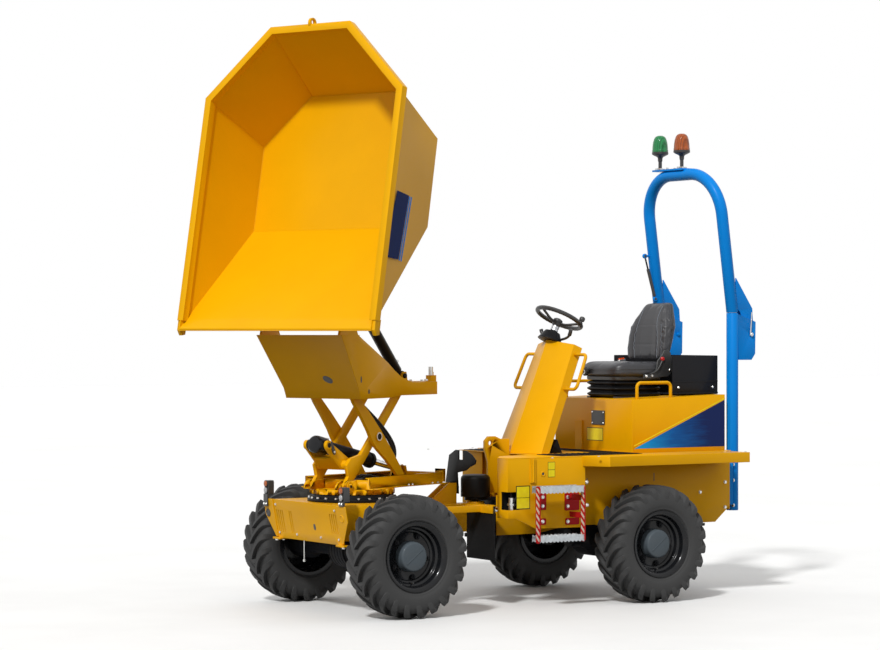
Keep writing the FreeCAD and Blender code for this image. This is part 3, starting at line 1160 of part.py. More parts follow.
def beacons():
    """Two flashing beacons on stems above the hoop."""
    lean = math.radians(HOOP_LEAN)
    top_x = POST_X + HOOP_RISE * math.sin(lean)
    foot = SPLIT_Z + HOOP_RISE * math.cos(lean) + POST_R + 4 + FIT_GAP
    pair = []
    for y in BEACON_Y:
        stem = rod(vec(top_x, y, foot), vec(top_x, y, foot + 96), 14)
        base = Part.makeCone(26, 50, 34, vec(top_x, y, foot + 88))
        lens = Part.makeCone(50, 33, 100, vec(top_x, y, foot + 122))
        crown = [edge for edge in lens.Edges if edge.Closed and edge.CenterOfMass.z > foot + 210]
        pair.append(fuse([stem, base, lens.makeFillet(22, crown)]))
    return Part.makeCompound(pair)


def steering_column():
    """The boot and column between the console top and the steering wheel."""
    tilt = math.radians(WHEEL_TILT)
    axis = vec(-math.sin(tilt), 0, math.cos(tilt))
    hub = vec(WHEEL_X, 0, WHEEL_Z) - axis * 62
    drop = hub.z - CONSOLE_TOP_Z - (hub.x - CONSOLE_TOP_X) * CONSOLE_SLOPE
    base = hub - axis * (drop / (axis.z - axis.x * CONSOLE_SLOPE))
    up = vec(-CONSOLE_SLOPE, 0, 1).normalize()
    boot = Part.makeCone(84, 52, 62, base + up * FIT_GAP, up)
    column = rod(base + axis * 30, hub - axis * FIT_GAP, 24)
    return fuse([boot, column])


def steering_wheel():
    """The steering wheel: ring, three spokes, hub and spinner knob, tilted to the driver."""
    rim_ring = Part.makeTorus(WHEEL_RING_R, WHEEL_TUBE_R)
    hub = Part.makeCylinder(30, 50, vec(0, 0, -62))
    parts = [rim_ring, hub]
    for angle in (0, 125, 235):
        a = math.radians(angle)
        tip = vec(WHEEL_RING_R * math.cos(a), WHEEL_RING_R * math.sin(a), 0)
        root = vec(18 * math.cos(a), 18 * math.sin(a), -34)
        parts.append(rod(root, tip, 9))
    a = math.radians(160)
    knob_at = vec(WHEEL_RING_R * math.cos(a), WHEEL_RING_R * math.sin(a), 0)
    parts.append(rod(knob_at, knob_at + vec(0, 0, 46), 10))
    parts.append(rod(knob_at + vec(0, 0, 22), knob_at + vec(0, 0, 54), 19))
    wheel = fuse(parts)
    wheel.rotate(vec(0, 0, 0), vec(0, 1, 0), -WHEEL_TILT)
    wheel.translate(vec(WHEEL_X, 0, WHEEL_Z))
    return wheel


def seat_suspension():
    """The seat's sprung base inside its bellows."""
    foot = [(-1000, box_top_at(-1000) + FIT_GAP), (-1000, 1356), (-1400, 1356),
            (-1400, box_top_at(-1400) + FIT_GAP)]
    parts = [prism_y(foot, -180, 180)]
    # Levels as (z below, z above, front x, rear x, half width)
    levels = [(1356, 1392, -1006, -1394, 172), (1392, 1428, -996, -1404, 184),
              (1428, 1455, -1002, -1398, 176)]
    for z0, z1, front, rear, half in levels:
        parts.append(block(rear, front, -half, half, z0, z1))
    return fuse(parts)


def seat_cushion():
    """The seat cushion as a plain solid with rounded edges."""
    cushion = block(-1440, -968, -235, 235, 1455 + FIT_GAP, CUSHION_TOP)
    return cushion.makeFillet(30, [e for e in cushion.Edges if e.BoundBox.ZMin > 1500])


def seat_backrest():
    """The backrest as a plain leaning solid that narrows to its top."""
    foot = CUSHION_TOP + FIT_GAP
    shoulder = 1800.0
    # Each level's corners: front left, front right, rear right, rear left
    low = [vec(-1372, -225, foot), vec(-1372, 225, foot), vec(-1436, 225, foot), vec(-1436, -225, foot)]
    middle = [vec(-1386, -215, shoulder), vec(-1386, 215, shoulder), vec(-1520, 215, shoulder),
              vec(-1520, -215, shoulder)]
    high = [vec(-1470, -128, 1955), vec(-1470, 128, 1955), vec(-1552, 128, 1955), vec(-1552, -128, 1955)]
    return fuse([hull(low, middle), hull(middle, high)])


def rear_tray():
    """The dark sheet wall and shelf behind the seat."""
    foot = BOX_TOP + FIT_GAP
    half = 330.0
    rear = BOX_REAR_X - 26
    parts = [block(rear, -1450, -half, half, foot, foot + 4)]
    parts.append(block(rear, rear + 4, -half, half, foot, 1592))
    parts += both_sides(block(rear, -1360, half - 4, half, foot, 1592))
    return fuse(parts)


def foot_pedals():
    """The two wedge shaped pedals between console and seat box."""
    foot = DECK_TOP + FIT_GAP
    outline = [(-470, foot), (-560, foot), (-520, foot + 90), (-512, foot + 90), (-466, foot + 6)]
    return Part.makeCompound(both_sides(prism_y(outline, 90, 190)))


def tow_hitch():
    """The rear tow jaw: two plates on a bracket with the pin's bore through both."""
    parts = [block(BODY_REAR_X - 14, BODY_REAR_X - FIT_GAP, -110, 110, 380, 660)]
    for z0 in (TOW_PIN_Z - 52, TOW_PIN_Z + 34):
        jaw = prism_z([(BODY_REAR_X - 10, 62), (TOW_PIN_X, 42), (TOW_PIN_X, -42), (BODY_REAR_X - 10, -62)],
                      z0, z0 + 18)
        parts += [jaw, rod(vec(TOW_PIN_X, 0, z0), vec(TOW_PIN_X, 0, z0 + 18), 42)]
    hitch = fuse(parts)
    return hitch.cut(rod(vec(TOW_PIN_X, 0, 300), vec(TOW_PIN_X, 0, 700), TOW_PIN_BORE_R))


def rear_lamps():
    """Two lamp clusters under the rear edge of the deck."""
    lamps = []
    for side in (-1, 1):
        y0 = side * 640 - 60
        lamps.append(block(FENDER_REAR_X - 30, FENDER_REAR_X - FIT_GAP, y0, y0 + 120, DECK_TOP - 62,
                           DECK_TOP - 4))
    return Part.makeCompound(lamps)


def build():
    """Every node by name, still in the modelling frame."""
    made = wheels()
    made["front_chassis"] = front_chassis()
    made["front_axle"] = axle(FRONT_AXLE_X, AXLE_Z + AXLE_TUBE_R + 20)
    made["latch_plate"] = latch_plate()
    made["mud_flaps"] = mud_flaps()
    made["front_lamps"] = front_lamps()
    made["slew_ring"] = slew_ring()
    made["swivel_frame"] = swivel_frame()
    made["inner_legs"] = inner_legs()
    made["outer_legs"] = outer_legs()
    made["top_frame"] = top_frame()
    made["skip"] = skip()
    made["lift_ram_barrel"], made["lift_ram_rod"] = lift_ram()
    made["tip_ram_barrel"], made["tip_ram_rod"] = tip_ram()
    made["steer_ram_barrel"], made["steer_ram_rod"] = steer_ram()
    made["rear_chassis"] = rear_chassis()
    made["rear_axle"] = axle(REAR_AXLE_X, AXLE_Z + AXLE_TUBE_R + 35)
    made["pivot_yoke"] = pivot_yoke()
    made["hose_drum"] = hose_drum()
    made["nose_plate"] = nose_plate()
    made["deck"] = deck()
    made["seat_box"] = seat_box()
    made["battery_block"] = battery_block()
    made["console"] = console()
    made["grab_handles"] = grab_handles()
    made["step"] = step()
    made["rops_posts"] = rops_posts()
    made["rops_hoop"] = rops_hoop()
    made["beacons"] = beacons()
    made["steering_column"] = steering_column()
    made["steering_wheel"] = steering_wheel()
    made["seat_suspension"] = seat_suspension()
    made["seat_cushion"] = seat_cushion()
    made["seat_backrest"] = seat_backrest()
    made["rear_tray"] = rear_tray()
    made["foot_pedals"] = foot_pedals()
    made["tow_hitch"] = tow_hitch()
    made["rear_lamps"] = rear_lamps()
    return made


os.makedirs("parts", exist_ok=True)
for name, shape in build().items():
    shape.translate(vec(-TOW_PIN_X, 0, -TOW_PIN_Z))
    shape.exportStep("parts/" + name + ".step")
    print(name, "valid" if shape.isValid() else "INVALID", len(shape.Solids), round(shape.Volume / 1e6, 3))
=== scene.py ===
"""Looks of the articulated site dumper: finishes, tyres, seat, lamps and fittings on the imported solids."""

import logging
import math
from dataclasses import dataclass
from enum import Enum
from typing import Sequence

import bmesh
import bpy
from mathutils import Matrix, Vector
from mathutils.bvhtree import BVHTree
from mathutils.kdtree import KDTree


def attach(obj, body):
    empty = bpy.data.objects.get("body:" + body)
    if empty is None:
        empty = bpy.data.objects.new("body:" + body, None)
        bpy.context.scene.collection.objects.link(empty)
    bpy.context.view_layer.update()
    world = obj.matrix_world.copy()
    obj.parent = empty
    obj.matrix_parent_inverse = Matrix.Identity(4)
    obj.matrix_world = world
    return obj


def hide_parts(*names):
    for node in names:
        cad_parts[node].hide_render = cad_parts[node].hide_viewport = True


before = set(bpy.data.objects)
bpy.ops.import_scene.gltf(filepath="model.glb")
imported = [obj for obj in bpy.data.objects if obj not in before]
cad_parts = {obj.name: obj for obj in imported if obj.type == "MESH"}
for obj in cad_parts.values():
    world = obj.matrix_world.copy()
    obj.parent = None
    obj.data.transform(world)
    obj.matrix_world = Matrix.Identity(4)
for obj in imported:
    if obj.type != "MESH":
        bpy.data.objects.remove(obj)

LOG = logging.getLogger("dumper")

# The frame's origin, in the machine's own ground frame: X forward from the steering pivot, Y left, Z up
TOW_PIN = Vector((-1.842, 0.0, 0.47))
FRONT_AXLE_X = 0.933
SLEW_REST = math.radians(22.0)
TIP_REST = math.radians(79.0)
HINGE = Vector((0.46, 0.0, 1.87))
HINGE_BACK = 0.165
HINGE_DOWN = 0.318
Point = tuple[float, float, float]
Corner = tuple[float, float]
UP: Point = (0.0, 0.0, 1.0)
DOWN: Point = (0.0, 0.0, -1.0)
AHEAD: Point = (1.0, 0.0, 0.0)
BACK: Point = (-1.0, 0.0, 0.0)
LEFT: Point = (0.0, 1.0, 0.0)
RIGHT: Point = (0.0, -1.0, 0.0)


def ground(x: float, y: float, z: float) -> Vector:
    """A point of the ground frame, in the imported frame.

    Args:
        x: metres forward of the steering pivot.
        y: metres to the left of the centre plane.
        z: metres above the ground.

    Returns:
        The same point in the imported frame.
    """
    return Vector((x, y, z)) - TOW_PIN


GROUND = Matrix.Translation(-TOW_PIN)
SWIVEL = GROUND @ Matrix.Translation((FRONT_AXLE_X, 0.0, 0.0)) @ Matrix.Rotation(SLEW_REST, 4, "Z")
SKIP = (SWIVEL @ Matrix.Translation(HINGE) @ Matrix.Rotation(TIP_REST, 4, "Y")
        @ Matrix.Translation((HINGE_BACK, 0.0, HINGE_DOWN)))


def facing(at: Sequence[float], normal: Sequence[float], up: Sequence[float] = UP) -> Matrix:
    """A frame that sits on a face.

    Args:
        at: the place on the face.
        normal: the way the face looks, which becomes the frame's Z.
        up: a direction that the frame's Y leans towards.

    Returns:
        The matrix from that frame to the one that at and normal are in.
    """
    z = Vector(normal).normalized()
    x = Vector(up).cross(z)
    if x.length < 1e-4:
        x = Vector(AHEAD).cross(z)
    x.normalize()
    y = z.cross(x)
    turned = Matrix((x, y, z)).transposed().to_4x4()
    return Matrix.Translation(Vector(at)) @ turned


def outward(side: float) -> Point:
    """The direction that points away from the centre plane on one side."""
    return (0.0, float(side), 0.0)


class Value:
    """A shader socket that Python's operators work on."""

    def __init__(self, sheet: "Sheet", socket: bpy.types.NodeSocket) -> None:
        """Keeps the socket and the sheet that its node is on."""
        self.sheet = sheet
        self.socket = socket

    def _join(self, operation: str, first: "Value | float", second: "Value | float") -> "Value":
        """One Math node on two values."""
        return self.sheet.node("ShaderNodeMath", {"operation": operation}, {0: first, 1: second})

    def __add__(self, other: "Value | float") -> "Value":
        """self + other."""
        return self._join("ADD", self, other)

    def __radd__(self, other: float) -> "Value":
        """other + self."""
        return self._join("ADD", other, self)

    def __sub__(self, other: "Value | float") -> "Value":
        """self - other."""
        return self._join("SUBTRACT", self, other)

    def __rsub__(self, other: float) -> "Value":
        """other - self."""
        return self._join("SUBTRACT", other, self)

    def __mul__(self, other: "Value | float") -> "Value":
        """self * other."""
        return self._join("MULTIPLY", self, other)

    def __rmul__(self, other: float) -> "Value":
        """other * self."""
        return self._join("MULTIPLY", other, self)

    def __truediv__(self, other: "Value | float") -> "Value":
        """self / other."""
        return self._join("DIVIDE", self, other)

    def __rtruediv__(self, other: float) -> "Value":
        """other / self."""
        return self._join("DIVIDE", other, self)

    def __pow__(self, other: "Value | float") -> "Value":
        """self to the power of other."""
        return self._join("POWER", self, other)

    def wrapped(self, period: float) -> "Value":
        """What is left of the value after whole periods."""
        return self._join("FLOORED_MODULO", self, period)

    def distance(self, middle: "Value | float") -> "Value":
        """How far the value lies from a middle, without a sign."""
        return self.sheet.node("ShaderNodeMath", {"operation": "ABSOLUTE"}, {0: self - middle})

    def between(self, low: float, high: float) -> "Value":
        """0 at low and 1 at high, with a smooth step and nothing outside them."""
        settings = {"interpolation_type": "SMOOTHSTEP"}
        return self.sheet.node("ShaderNodeMapRange", settings,
                               {"Value": self, "From Min": low, "From Max": high})


class Sheet:
    """The node sheet of one material."""

    def __init__(self, name: str) -> None:
        """Starts a material with one Principled shader."""
        self.material = bpy.data.materials.new(name)
        self.material.use_nodes = True
        self.nodes = self.material.node_tree.nodes
        self.links = self.material.node_tree.links
        self.shader = self.nodes["Principled BSDF"]

    def node(self, kind: str, settings: dict | None = None, inputs: dict | None = None,
             output: str | int = 0) -> Value:
        """Adds a node.

        Args:
            kind: Blender's name of the node's type.
            settings: its options, set before its sockets; stops holds a ramp's (place, colour) pairs.
            inputs: values or links by socket name or number.
            output: the socket that is returned.

        Returns:
            The output as a value.
        """
        made = self.nodes.new(kind)
        for key, setting in (settings or {}).items():
            if key == "stops":
                self._fill(made.color_ramp, setting)
            else:
                setattr(made, key, setting)
        for key, content in (inputs or {}).items():
            self._feed(made.inputs[key], content)
        return Value(self, made.outputs[output])

    def _fill(self, ramp: bpy.types.ColorRamp, stops: Sequence[tuple[float, Sequence[float]]]) -> None:
        """Sets a colour ramp's stops."""
        while len(ramp.elements) < len(stops):
            ramp.elements.new(0.5)
        for element, (place, colour) in zip(ramp.elements, stops):
            element.position = place
            element.color = (*colour, 1.0)

    def _feed(self, socket: bpy.types.NodeSocket, content: "Value | float | Sequence[float]") -> None:
        """Links or sets one socket."""
        if isinstance(content, Value):
            self.links.new(content.socket, socket)
        elif socket.type == "RGBA" and len(content) == 3:
            socket.default_value = (*content, 1.0)
        else:
            socket.default_value = content

    def set(self, **sockets: "Value | float | Sequence[float]") -> None:
        """Sets sockets of the shader, with _ for a space in a name."""
        for key, content in sockets.items():
            self._feed(self.shader.inputs[key.replace("_", " ")], content)

    def place(self) -> Value:
        """Where a surface point lies in its own object, in metres."""
        return self.node("ShaderNodeTexCoord", output="Object")

    def part(self, place: Value, axis: str) -> Value:
        """One of a place's three coordinates."""
        return self.node("ShaderNodeSeparateXYZ", inputs={0: place}, output=axis)

    def scaled(self, place: Value, factors: Sequence[float]) -> Value:
        """A place with each coordinate multiplied, for a stretched texture."""
        return self.node("ShaderNodeVectorMath", {"operation": "MULTIPLY"}, {0: place, 1: factors})

    def noise(self, place: Value, scale: float, detail: float = 2.0, rough: float = 0.5) -> Value:
        """Cloudy noise from 0 to 1."""
        return self.node("ShaderNodeTexNoise", inputs={"Vector": place, "Scale": scale, "Detail": detail,
                                                       "Roughness": rough}, output=0)

    def cells(self, place: Value, scale: float, feature: str = "F1") -> Value:
        """Distance in a pattern of cells."""
        return self.node("ShaderNodeTexVoronoi", {"feature": feature}, {"Vector": place, "Scale": scale},
                         output="Distance")

    def mix(self, share: "Value | float", first: "Value | Sequence[float]",
            second: "Value | Sequence[float]") -> Value:
        """A colour between two colours."""
        colour = {"data_type": "RGBA", "clamp_factor": True}
        made = self.nodes.new("ShaderNodeMix")
        for key, setting in colour.items():
            setattr(made, key, setting)
        self._feed(made.inputs[0], share)
        self._feed(made.inputs[6], first)
        self._feed(made.inputs[7], second)
        return Value(self, made.outputs[2])

    def bump(self, height: Value, distance: float, strength: float = 1.0) -> Value:
        """A normal from a height, which is scaled to a distance in metres."""
        return self.node("ShaderNodeBump", inputs={"Height": height, "Distance": distance,
                                                   "Strength": strength})


class RecordSlot(Enum):
    """The record's material slots that the pieces here take their finish from."""

    YELLOW = "yellow_paint"
    BLACK = "black_paint"
    TYRE = "tyre_rubber"
    RUBBER = "rubber"
    PLASTIC = "black_plastic"
    CHROME = "rod_chrome"
    CASE = "battery_case"
    GREY = "grey_paint"
    BLUE = "blue_paint"
    STEEL = "column_steel"
    VINYL = "seat_vinyl"
    RED = "red_plastic"


@dataclass(frozen=True)
class Finish:
    """What every finish has: a name, a colour and the record's slot."""

    name: str
    colour: Point
    slot: RecordSlot

    def material(self) -> bpy.types.Material:
        """The finish as a material, made once."""
        known = bpy.data.materials.get(self.name)
        if known is not None:
            return known
        sheet = Sheet(self.name)
        self.paint(sheet)
        return sheet.material

    def paint(self, sheet: Sheet) -> None:
        """Lays the finish on a sheet; each kind of finish has its own way."""
        sheet.set(Base_Color=self.colour)


@dataclass(frozen=True)
class Paint(Finish):
    """Sprayed gloss paint on steel, with a faint orange peel and road dust low down."""

    rough: float = 0.36
    coat: float = 0.02
    spec: float = 0.1
    dust: float = 0.16
    shade: float = 0.93

    def paint(self, sheet: Sheet) -> None:
        """Base coat with a cloudy tint, dust towards the ground, peel in the clear coat."""
        place = sheet.place()
        cloud = sheet.noise(place, 2.3, 4.0, 0.6)
        deep = tuple(c * self.shade for c in self.colour)
        base = sheet.mix(cloud.between(0.25, 0.75), deep, self.colour)
        height = sheet.part(place, "Z")
        smear = sheet.noise(sheet.scaled(place, (1.0, 1.0, 3.0)), 7.0, 5.0, 0.65)
        dirt = (1.0 - height.between(-0.35, 0.55)) * smear.between(0.4, 0.85) * self.dust
        fine = sheet.noise(place, 420.0, 2.0)
        rub = sheet.noise(sheet.scaled(place, (3.0, 3.0, 34.0)), 6.0, 3.0)
        sheet.set(Base_Color=sheet.mix(dirt, base, (0.3, 0.25, 0.18)),
                  Roughness=(rub * 0.1 + dirt * 1.2) + (self.rough - 0.05),
                  Coat_Weight=self.coat, Coat_Roughness=0.12, Specular_IOR_Level=self.spec,
                  Normal=sheet.bump(fine, 0.00012, 0.35))


@dataclass(frozen=True)
class TyreRubber(Finish):
    """Tread rubber: fine grain, mould lines round the wheel and a grey bloom on what stands proud."""

    tread_r: float = 0.352

    def paint(self, sheet: Sheet) -> None:
        """Grain by noise, with the bloom by distance from the wheel's own axle."""
        place = sheet.place()
        x = sheet.part(place, "X")
        z = sheet.part(place, "Z")
        radius = (x * x + z * z) ** 0.5
        cloud = sheet.noise(place, 9.0, 5.0, 0.62)
        grain = sheet.noise(place, 620.0, 3.0, 0.6)
        bloom = radius.between(self.tread_r - 0.03, self.tread_r + 0.026) * cloud.between(0.2, 0.8)
        pale = sheet.mix(bloom * 0.4, self.colour, (0.034, 0.033, 0.032))
        dusty = sheet.mix(cloud.between(0.45, 0.9) * 0.3, pale, (0.04, 0.039, 0.037))
        lines = (radius * 900.0).wrapped(6.0).distance(3.0) * 0.05
        height = grain * 0.8 + cloud * 0.7 + lines
        sheet.set(Base_Color=dusty, Roughness=cloud * 0.16 + 0.56, Specular_IOR_Level=0.16,
                  Normal=sheet.bump(height, 0.0009, 0.55))


@dataclass(frozen=True)
class Rubber(Finish):
    """Plain moulded or sheet rubber."""

    rough: float = 0.62

    def paint(self, sheet: Sheet) -> None:
        """A matt surface with a fine grain and scuffs."""
        place = sheet.place()
        scuff = sheet.noise(place, 16.0, 5.0, 0.7)
        grain = sheet.noise(place, 800.0, 2.0)
        worn = tuple(c * 2.1 + 0.008 for c in self.colour)
        sheet.set(Base_Color=sheet.mix(scuff.between(0.52, 0.86) * 0.5, self.colour, worn),
                  Roughness=scuff * 0.18 + (self.rough - 0.09), Specular_IOR_Level=0.15,
                  Normal=sheet.bump(grain + scuff * 0.6, 0.0005, 0.5))


@dataclass(frozen=True)
class Moulded(Finish):
    """Moulded plastic with a spark-eroded grain."""

    rough: float = 0.44
    spec: float = 0.15
    grain: float = 1700.0
    depth: float = 0.00022

    def paint(self, sheet: Sheet) -> None:
        """A closely grained surface with slight wear."""
        place = sheet.place()
        pits = sheet.cells(place, self.grain)
        haze = sheet.noise(place, 30.0, 4.0, 0.6)
        pale = tuple(min(1.0, c * 1.5 + 0.006) for c in self.colour)
        sheet.set(Base_Color=sheet.mix(haze.between(0.4, 0.9) * 0.5, self.colour, pale),
                  Roughness=haze * 0.14 + (self.rough - 0.07), Specular_IOR_Level=self.spec,
                  Normal=sheet.bump(pits + haze * 0.3, self.depth, 0.5))


@dataclass(frozen=True)
class Vinyl(Finish):
    """Seat vinyl with a leather grain."""

    def paint(self, sheet: Sheet) -> None:
        """Two sizes of cells for the grain and a soft sheen from use."""
        place = sheet.place()
        large = sheet.cells(place, 260.0, "DISTANCE_TO_EDGE")
        small = sheet.cells(place, 640.0, "DISTANCE_TO_EDGE")
        cloud = sheet.noise(place, 11.0, 4.0, 0.6)
        crease = large.between(0.0, 0.16) * 0.7 + small.between(0.0, 0.2) * 0.3
        pale = tuple(c * 1.5 + 0.002 for c in self.colour)
        sheet.set(Base_Color=sheet.mix(cloud.between(0.35, 0.85) * 0.6, self.colour, pale),
                  Roughness=crease * -0.08 + (cloud * 0.1 + 0.31), Specular_IOR_Level=0.17,
                  Normal=sheet.bump(crease + cloud * 0.5, 0.00035, 0.6))


@dataclass(frozen=True)
class Metal(Finish):
    """Bare or plated metal with drawn lines."""

    rough: float = 0.28
    lines: Point = (40.0, 40.0, 900.0)

    def paint(self, sheet: Sheet) -> None:
        """Stretched noise for the drawn lines and a little dullness."""
        place = sheet.place()
        drawn = sheet.noise(sheet.scaled(place, self.lines), 2.0, 3.0)
        cloud = sheet.noise(place, 40.0, 4.0, 0.6)
        dull = tuple(c * 0.72 for c in self.colour)
        sheet.set(Base_Color=sheet.mix(cloud.between(0.35, 0.8), self.colour, dull), Metallic=1.0,
                  Roughness=drawn * 0.12 + (cloud * 0.14 + (self.rough - 0.12)),
                  Normal=sheet.bump(drawn, 0.00006, 0.5))


@dataclass(frozen=True)
class Lens(Finish):
    """Clear tinted plastic over a reflector, with fluting inside."""

    pitch: float = 0.006
    through: float = 0.35

    def paint(self, sheet: Sheet) -> None:
        """Fluting across the lens, with its colour darkened in the grooves between the flutes as painted
        shade.
        """
        place = sheet.place()
        flute = (sheet.part(place, "Y") / self.pitch).wrapped(1.0).distance(0.5)
        # deep is painted shade: the colour is darkened in the grooves between the flutes.
        deep = tuple(c * 0.4 for c in self.colour)
        sheet.set(Base_Color=sheet.mix(flute * 1.6, deep, self.colour), Roughness=0.12,
                  Transmission_Weight=self.through, IOR=1.45, Coat_Weight=0.1, Coat_Roughness=0.05,
                  Normal=sheet.bump(flute, 0.0016, 0.7))


@dataclass(frozen=True)
class HatchTape(Finish):
    """Retroreflective red and white slanting stripes with a honeycomb in them; the white is painted warm and
    dimmed, as painted shade with orange bounce light in it.
    """

    pitch: float = 0.044
    lean: float = 0.9

    def paint(self, sheet: Sheet) -> None:
        """Stripes by height and depth; small cells in both colours."""
        place = sheet.place()
        slant = sheet.part(place, "Z") + sheet.part(place, "X") * self.lean + sheet.part(place,
                                                                                         "Y") * self.lean
        stripe = (slant / self.pitch).wrapped(1.0).distance(0.5)
        comb = sheet.cells(place, 310.0, "DISTANCE_TO_EDGE").between(0.0, 0.09)
        # The white stripe and its cell edges are painted warm and dim: painted shade with the yellow body's
        # orange bounce light.
        flat = sheet.mix(stripe.between(0.26, 0.27), self.colour, (0.7, 0.62, 0.52))
        edge = sheet.mix(stripe.between(0.26, 0.27), (0.22, 0.008, 0.01), (0.42, 0.36, 0.3))
        sheet.set(Base_Color=sheet.mix(comb, edge, flat), Roughness=0.26, Coat_Weight=0.4,
                  Normal=sheet.bump(comb, 0.0002, 0.4))


@dataclass(frozen=True)
class SkyPanel(Finish):
    """Printed side panel that runs from light blue at its low front tip to navy at its rear."""

    dark: Point = (0.0008, 0.011, 0.085)
    start: Point = (0.898, 0.0, 0.508)
    end: Point = (0.125, 0.0, 0.76)

    def paint(self, sheet: Sheet) -> None:
        """A slanting blend with soft streaks along it."""
        place = sheet.place()
        run = Vector(self.end) - Vector(self.start)
        along = sheet.node("ShaderNodeVectorMath", {"operation": "DOT_PRODUCT"},
                           {0: place, 1: tuple(run / run.length_squared)}, output="Value")
        shift = Vector(self.start).dot(run) / run.length_squared
        streak = sheet.noise(sheet.scaled(place, (3.0, 1.0, 22.0)), 2.6, 5.0, 0.62)
        share = (along - shift) + (streak - 0.5) * 0.34
        middle = (0.001, 0.085, 0.34)
        ramp = sheet.node("ShaderNodeValToRGB", {"stops": [(0.08, self.colour), (0.42, middle),
                                                           (0.78, self.dark)]},
                          {0: share})
        fine = sheet.noise(place, 500.0, 2.0)
        sheet.set(Base_Color=ramp, Roughness=fine * 0.08 + 0.3, Coat_Weight=0.05,
                  Coat_Roughness=0.08, Specular_IOR_Level=0.14)


@dataclass(frozen=True)
class StudioFloor(Finish):
    """The pale floor, lighter to the camera than to the object."""

    bounce: Point = (0.1, 0.1, 0.1)

    def paint(self, sheet: Sheet) -> None:
        """A faintly clouded matt floor."""
        place = sheet.place()
        cloud = sheet.noise(place, 0.7, 4.0, 0.6)
        grain = sheet.noise(place, 45.0, 3.0)
        pale = tuple(c * 0.95 for c in self.colour)
        seen = sheet.node("ShaderNodeLightPath", output="Is Diffuse Ray")
        plain = sheet.mix(cloud.between(0.3, 0.7), pale, self.colour)
        sheet.set(Base_Color=sheet.mix(seen, plain, self.bounce), Roughness=grain * 0.1 + 0.6)


YELLOW = Paint("amber_yellow_paint", (0.79, 0.385, 0.0006), RecordSlot.YELLOW)
YELLOW_CLEAN = Paint("amber_yellow_skip", (0.79, 0.392, 0.0006), RecordSlot.YELLOW, dust=0.0, shade=0.95)
BLUE = Paint("sky_blue_paint", (0.002, 0.225, 0.7), RecordSlot.BLUE, rough=0.36, dust=0.05)
BLACK = Paint("satin_black_paint", (0.0055, 0.0055, 0.0065), RecordSlot.BLACK, rough=0.42, coat=0.05,
              dust=0.08)
RIM_BLACK = Paint("rim_black_paint", (0.007, 0.0075, 0.009), RecordSlot.BLACK, rough=0.26, coat=0.35,
                  dust=0.03)
AXLE_GREY = Paint("axle_dark_grey", (0.013, 0.014, 0.017), RecordSlot.BLACK, rough=0.5, coat=0.0, dust=0.14)
HUB_GREY = Paint("hub_grey_paint", (0.08, 0.098, 0.112), RecordSlot.GREY, rough=0.44, coat=0.1, dust=0.05)
TRAY_GREY = Paint("tray_black_paint", (0.0095, 0.0095, 0.0115), RecordSlot.GREY, rough=0.46, coat=0.1,
                  dust=0.0)
STEP_RED = Paint("step_red_paint", (0.42, 0.01, 0.012), RecordSlot.GREY, rough=0.34, dust=0.0)
TYRE = TyreRubber("tyre_rubber", (0.0085, 0.0088, 0.0098), RecordSlot.TYRE)
SHEET_RUBBER = Rubber("sheet_rubber", (0.007, 0.007, 0.0072), RecordSlot.RUBBER)
HOSE = Rubber("hose_rubber", (0.01, 0.01, 0.0105), RecordSlot.RUBBER, rough=0.48)
GLOSS_COVER = Rubber("gloss_cover", (0.006, 0.0055, 0.0052), RecordSlot.RUBBER, rough=0.42)
BELLOWS = Rubber("bellows_rubber", (0.006, 0.0062, 0.0072), RecordSlot.RUBBER, rough=0.38)
PLASTIC = Moulded("black_plastic", (0.0065, 0.0066, 0.0078), RecordSlot.PLASTIC)
RED_PLASTIC = Moulded("red_plastic", (0.5, 0.012, 0.016), RecordSlot.RED, rough=0.3)
ORANGE_PLASTIC = Moulded("buckle_orange", (0.72, 0.07, 0.006), RecordSlot.RED, rough=0.34)
SIGN = Moulded("blank_sign_yellow", (0.8, 0.64, 0.012), RecordSlot.YELLOW, rough=0.3, grain=300.0, depth=0.0)
SIGN_EDGE = Moulded("sign_border_black", (0.01, 0.01, 0.01), RecordSlot.PLASTIC, rough=0.35)
VINYL = Vinyl("seat_vinyl", (0.0045, 0.0052, 0.0078), RecordSlot.VINYL)
PIPING = Moulded("seat_piping", (0.2, 0.22, 0.25), RecordSlot.VINYL, rough=0.55)
ZINC = Metal("zinc_plate", (0.66, 0.66, 0.64), RecordSlot.STEEL, rough=0.3, lines=(300.0, 300.0, 300.0))
GALVANISED = Metal("galvanised_tread", (0.5, 0.53, 0.55), RecordSlot.GREY, rough=0.46,
                   lines=(60.0, 60.0, 60.0))
CHROME = Metal("hard_chrome", (0.8, 0.81, 0.82), RecordSlot.CHROME, rough=0.14)
BRUSHED = Metal("brushed_column", (0.6, 0.61, 0.63), RecordSlot.STEEL, rough=0.32)
AMBER_LENS = Lens("amber_lens", (0.95, 0.2, 0.006), RecordSlot.RED)
WHITE_LENS = Lens("clear_lens", (0.85, 0.86, 0.88), RecordSlot.PLASTIC)
RED_LENS = Lens("red_lens", (0.62, 0.01, 0.01), RecordSlot.RED)
GREEN_DOME = Lens("green_dome", (0.015, 0.36, 0.1), RecordSlot.PLASTIC, pitch=0.011, through=0.25)
AMBER_DOME = Lens("amber_dome", (0.62, 0.125, 0.01), RecordSlot.RED, pitch=0.011, through=0.25)
HATCH = HatchTape("hatch_tape", (0.56, 0.012, 0.014), RecordSlot.GREY)
SKY = SkyPanel("blue_side_panel", (0.003, 0.285, 0.72), RecordSlot.BLUE)
NAVY = Moulded("navy_panel", (0.0006, 0.012, 0.085), RecordSlot.BLUE, rough=0.4, spec=0.06, grain=300.0,
               depth=0.0)
FLOOR = StudioFloor("studio_floor", (0.88, 0.88, 0.87), RecordSlot.GREY)


